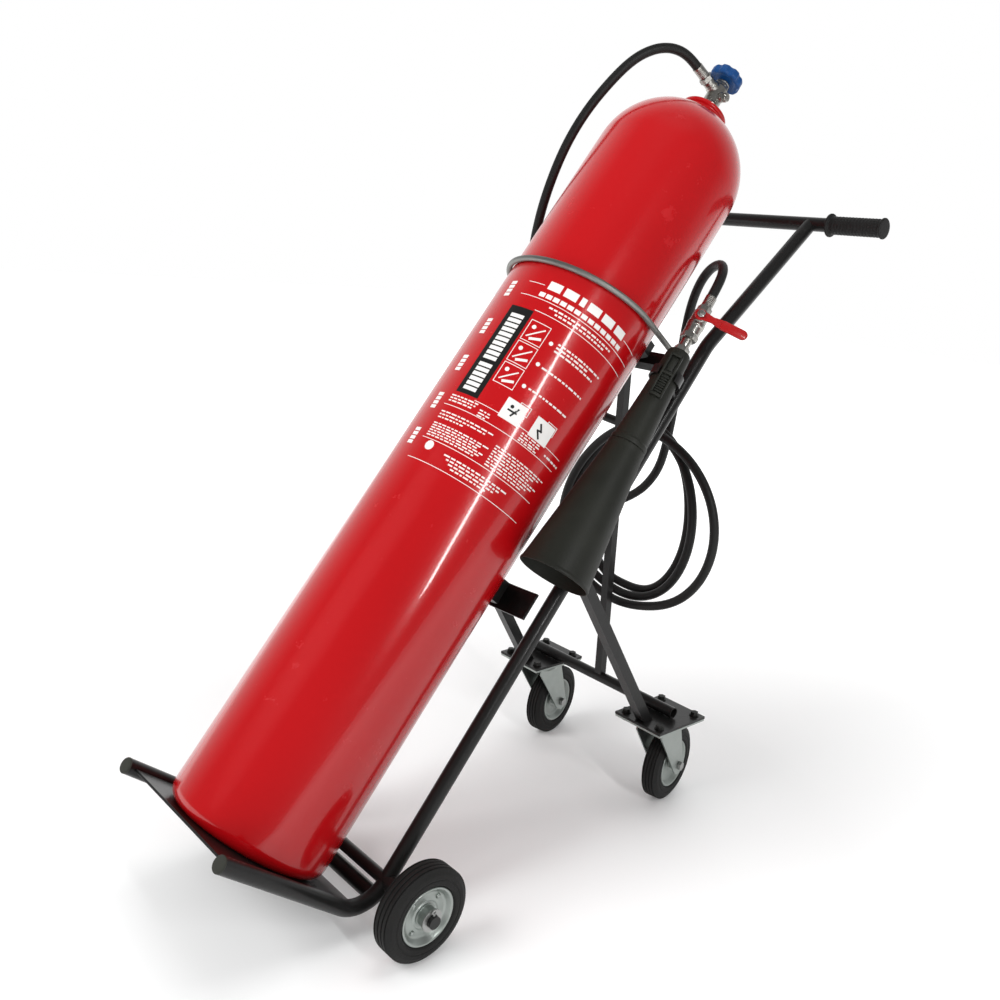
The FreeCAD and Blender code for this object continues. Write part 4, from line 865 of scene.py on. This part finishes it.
wheelKinds = {"wheel": {"half": 20.0, "hub": 16.0, "hubHalf": 24.4, "bore": 10.1,
                        "grooves": (-12.0, -4.0, 4.0, 12.0), "rivets": 4, "rivetAt": 31.5},
              "caster": {"half": 18.0, "hub": 11.0, "hubHalf": 24.4, "bore": 5.1,
                         "grooves": (-10.2, -3.4, 3.4, 10.2), "rivets": 0, "rivetAt": 0.0}}


def tyreSolid(place, kind, radius=75.0, rim=47.5):
    # flat side walls with a raised band and a ring groove, rounded shoulders, grooves in the tread
    half = kind["half"]
    low = [(rim + 0.1, -half + 3), (rim + 3.6, -half + 0.1), (rim + 9.4, -half + 0.1),
           (rim + 10.2, -half + 1.0), (rim + 11.8, -half + 1.0), (rim + 12.6, -half + 0.2),
           (radius - 9, -half + 1), (radius - 3, -half + 5)]
    tread = []
    for middle in kind["grooves"]:
        tread += [(radius - 0.2, middle - 1.9), (radius - 0.7, middle - 1.3), (radius - 2.6, middle - 0.9),
                  (radius - 2.6, middle + 0.9), (radius - 0.7, middle + 1.3), (radius - 0.2, middle + 1.9)]
    high = [(r, -z) for r, z in low[::-1]]
    return turnedSolid(softened(low + tread + high, 1.0, 4, closed=True), place, 144, closed=True)


def rimSolids(place, kind, rim=47.4):
    # a pressed dish on both sides: hub, ring step, deep channel, rolled edge; domed rivets where named
    half, hub, hubHalf = kind["half"], kind["hub"], kind["hubHalf"]
    low = [(kind["bore"], -hubHalf), (hub - 1, -hubHalf), (hub, -hubHalf + 1), (hub, -half + 8.6),
           (hub + 5, -half + 7.6), (hub + 7, -half + 9.4), (rim - 12.4, -half + 10.2),
           (rim - 9.6, -half + 9.0), (rim - 5.4, -half + 3.2), (rim - 3.6, -half + 1.4),
           (rim - 1.2, -half + 1.0), (rim, -half + 2.6)]
    high = [(r, -z) for r, z in low[::-1]]
    solids = [turnedSolid(softened(low + high, 1.2, 4, closed=True), place, 128, closed=True)]
    for count in range(kind["rivets"]):
        spin = turnedPlace(place, 45 + 360 / kind["rivets"] * count)
        for out in (1, -1):
            seat = moved(spin, kind["rivetAt"], 0, out * (half - 9.8))
            seat = placeAt(seat[:3, 3], place[:3, 2] * out, place[:3, 0])
            solids.append(turnedSolid([(0, -2), (4.0, -2), (4.0, 0.8), (3.5, 1.8), (2.2, 2.5), (0, 2.7)],
                                      seat, 24))
    return solids


for side in ("right", "left"):
    for kind, jointName in (("wheel", "main_wheel_%s_roll" % side), ("caster", "caster_%s_roll" % side)):
        joint = jointOf[jointName]
        place = placeAt(joint["pos_m"], joint["axis"], (0, 0, 1))
        settings = wheelKinds[kind]
        tyreNode, rimNode = "%s_tyre_%s" % (kind, side), "%s_rim_%s" % (kind, side)
        tyre = makePiece(kind + "Tyre" + side.title(), [tyreSolid(place, settings)], [tyreNode], sharp=50)
        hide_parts(tyreNode)
        rim = makePiece(kind + "Rim" + side.title(), rimSolids(place, settings), [rimNode], sharp=50)
        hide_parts(rimNode)
print("wheels made")


# prong caps, and the other CAD nodes with rounded edges

tubeEnds = inWorld(lean, [(sign * tubeSettings["across"], tubeSettings["start"], tubeSettings["drop"])
                          for sign in (1, -1)])
capPlaces = [placeAt(end, -backWay, acrossWay) for end in tubeEnds]
capProfile = softened([(0, -0.4), (12.9, -0.4), (12.9, 1.4), (11.6, 2.9), (0, 3.0)], 1.0, 4)
prongCaps = makePiece("prongCaps", [turnedSolid(capProfile, place, 56) for place in capPlaces],
                      ["prong_caps"])
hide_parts("prong_caps")

dressed = {"foot_plate": 1.0, "foot_cross_tube": 0.0, "lower_saddle": 0.9, "upper_crossbar": 1.2,
           "leg_right": 1.6, "leg_left": 1.6, "centre_strut": 1.4, "rear_cross_tube": 0.4,
           "caster_mount_plates": 0.8, "axle": 0.5, "hose_hook": 0.6, "horn_holder": 0.5,
           "caster_bolts": 0.45, "axle_washers": 0.4, "split_pins": 0.0, "caster_axle_right": 0.5,
           "caster_axle_left": 0.5, "caster_top_plates": 0.7, "caster_fork_right": 0.8,
           "caster_fork_left": 0.8, "valve_ball": 0.0, "ball_seats": 0.0, "dip_tube": 0.0}
for node, edge in dressed.items():
    words = node.split("_")
    dressNode(node, words[0] + "".join(word.title() for word in words[1:]), edge,
              finish=darkBolt if node == "caster_bolts" else None)
print("other nodes dressed:", len(dressed))


# camera, floor and light

cameraSettings = {"position": (1.20754, -1.14944, 1.03266), "azimuth": 46.5, "elevation": 14.3, "roll": 5.7,
                  "lens": 36.26, "sensor": 36.0}


def setCamera(settings):
    # back = away from the view, right level, then both rolled about back
    azimuth, elevation, roll = (math.radians(settings[key]) for key in ("azimuth", "elevation", "roll"))
    back = np.array([math.sin(azimuth) * math.cos(elevation), -math.cos(azimuth) * math.cos(elevation),
                     math.sin(elevation)])
    right = np.array([math.cos(azimuth), math.sin(azimuth), 0.0])
    up = np.cross(back, right)
    rolled = np.eye(4)
    rolled[:3, 0] = right * math.cos(roll) + up * math.sin(roll)
    rolled[:3, 1] = up * math.cos(roll) - right * math.sin(roll)
    rolled[:3, 2], rolled[:3, 3] = back, settings["position"]
    data = bpy.data.cameras.new("camera")
    data.lens, data.sensor_width, data.clip_end = settings["lens"], settings["sensor"], 60.0
    camera = bpy.data.objects.new("camera", data)
    camera.matrix_world = Matrix(rolled.tolist())
    bpy.context.scene.collection.objects.link(camera)
    bpy.context.scene.camera = camera


def addLight(name, place, target, wide, high, power, mirrored):
    data = bpy.data.lights.new(name, "AREA")
    data.shape, data.size, data.size_y, data.energy = "RECTANGLE", wide, high, power
    light = bpy.data.objects.new(name, data)
    away = np.array(place, float) - np.array(target, float)
    light.matrix_world = Matrix(placeAt(place, away, (0.3, 0.9, 0.1)).tolist())
    # a light that isn't mirrored leaves no highlight on the paint
    light.visible_glossy = mirrored
    bpy.context.scene.collection.objects.link(light)


floorSettings = {"near": 0.7, "far": 3.2, "nearGlow": (0.12, 0.12, 0.12), "farGlow": (1.0, 1.0, 1.0)}


def addFloor(half=14.0, count=57):
    # one wide flat sheet at z = 0
    across = np.linspace(-half, half, count)
    grid = np.stack([*np.meshgrid(across, across, indexing="ij"), np.zeros((count, count))], -1)
    index = np.arange(count * count).reshape(count, count)
    faces = np.stack([index[:-1, :-1], index[1:, :-1], index[1:, 1:], index[:-1, 1:]], -1).reshape(-1, 4)
    mesh = bpy.data.meshes.new("floor")
    mesh.from_pydata(grid.reshape(-1, 3).tolist(), [], faces.tolist())
    floor = bpy.data.objects.new("floor", mesh)
    bpy.context.scene.collection.objects.link(floor)
    # the sheet glows more with its distance from the object, so that it meets the pale backdrop
    g = Graph("paleFloor")
    distance = g.add("VectorMath", {"operation": "LENGTH"}, {0: g.place}, "Value")
    glow = g.add("MapRange", {}, {"Value": distance, "From Min": floorSettings["near"],
                                  "From Max": floorSettings["far"]})
    glowColour = g.colours(glow, floorSettings["nearGlow"], floorSettings["farGlow"])
    mesh.materials.append(g.surface(Base_Color=(0.86, 0.86, 0.86, 1), Roughness=0.7, Emission_Strength=0.9,
                                    Emission_Color=glowColour))


roomSettings = {"farSide": (-0.703, 0.667, -0.247), "From Min": -0.15, "From Max": 0.72,
                "To Min": 0.24, "To Max": 1.0}
setCamera(cameraSettings)
addFloor()
# place, width and height in metres, watts, and whether the paint mirrors it
lightSettings = {"keySoftbox": ((-0.6, -3.3, 3.0), 2.2, 2.2, 125, False),
                 "rightStrip": ((3.2, -0.7, 2.2), 0.16, 2.0, 46, True),
                 "topFill": ((0.3, 0.4, 4.4), 2.4, 2.4, 50, False)}
middle = (0.0, -0.02, 0.65)
for name, (place, wide, high, power, mirrored) in lightSettings.items():
    addLight(name, place, middle, wide, high, power, mirrored)
world = bpy.data.worlds.new("studio")
bpy.context.scene.world = world
world.use_nodes = True
background = world.node_tree.nodes["Background"]
background.inputs["Color"].default_value = (1, 1, 1, 1)
# a pale backdrop on the far side that fades to a dim room: strength follows direction . far side
coordinates = world.node_tree.nodes.new("ShaderNodeTexCoord")
facing = world.node_tree.nodes.new("ShaderNodeVectorMath")
facing.operation = "DOT_PRODUCT"
facing.inputs[1].default_value = roomSettings["farSide"]
fade = world.node_tree.nodes.new("ShaderNodeMapRange")
for name in ("From Min", "From Max", "To Min", "To Max"):
    fade.inputs[name].default_value = roomSettings[name]
world.node_tree.links.new(coordinates.outputs["Generated"], facing.inputs[0])
world.node_tree.links.new(facing.outputs["Value"], fade.inputs["Value"])
world.node_tree.links.new(fade.outputs["Result"], background.inputs["Strength"])
bpy.context.scene.view_settings.view_transform = "Standard"
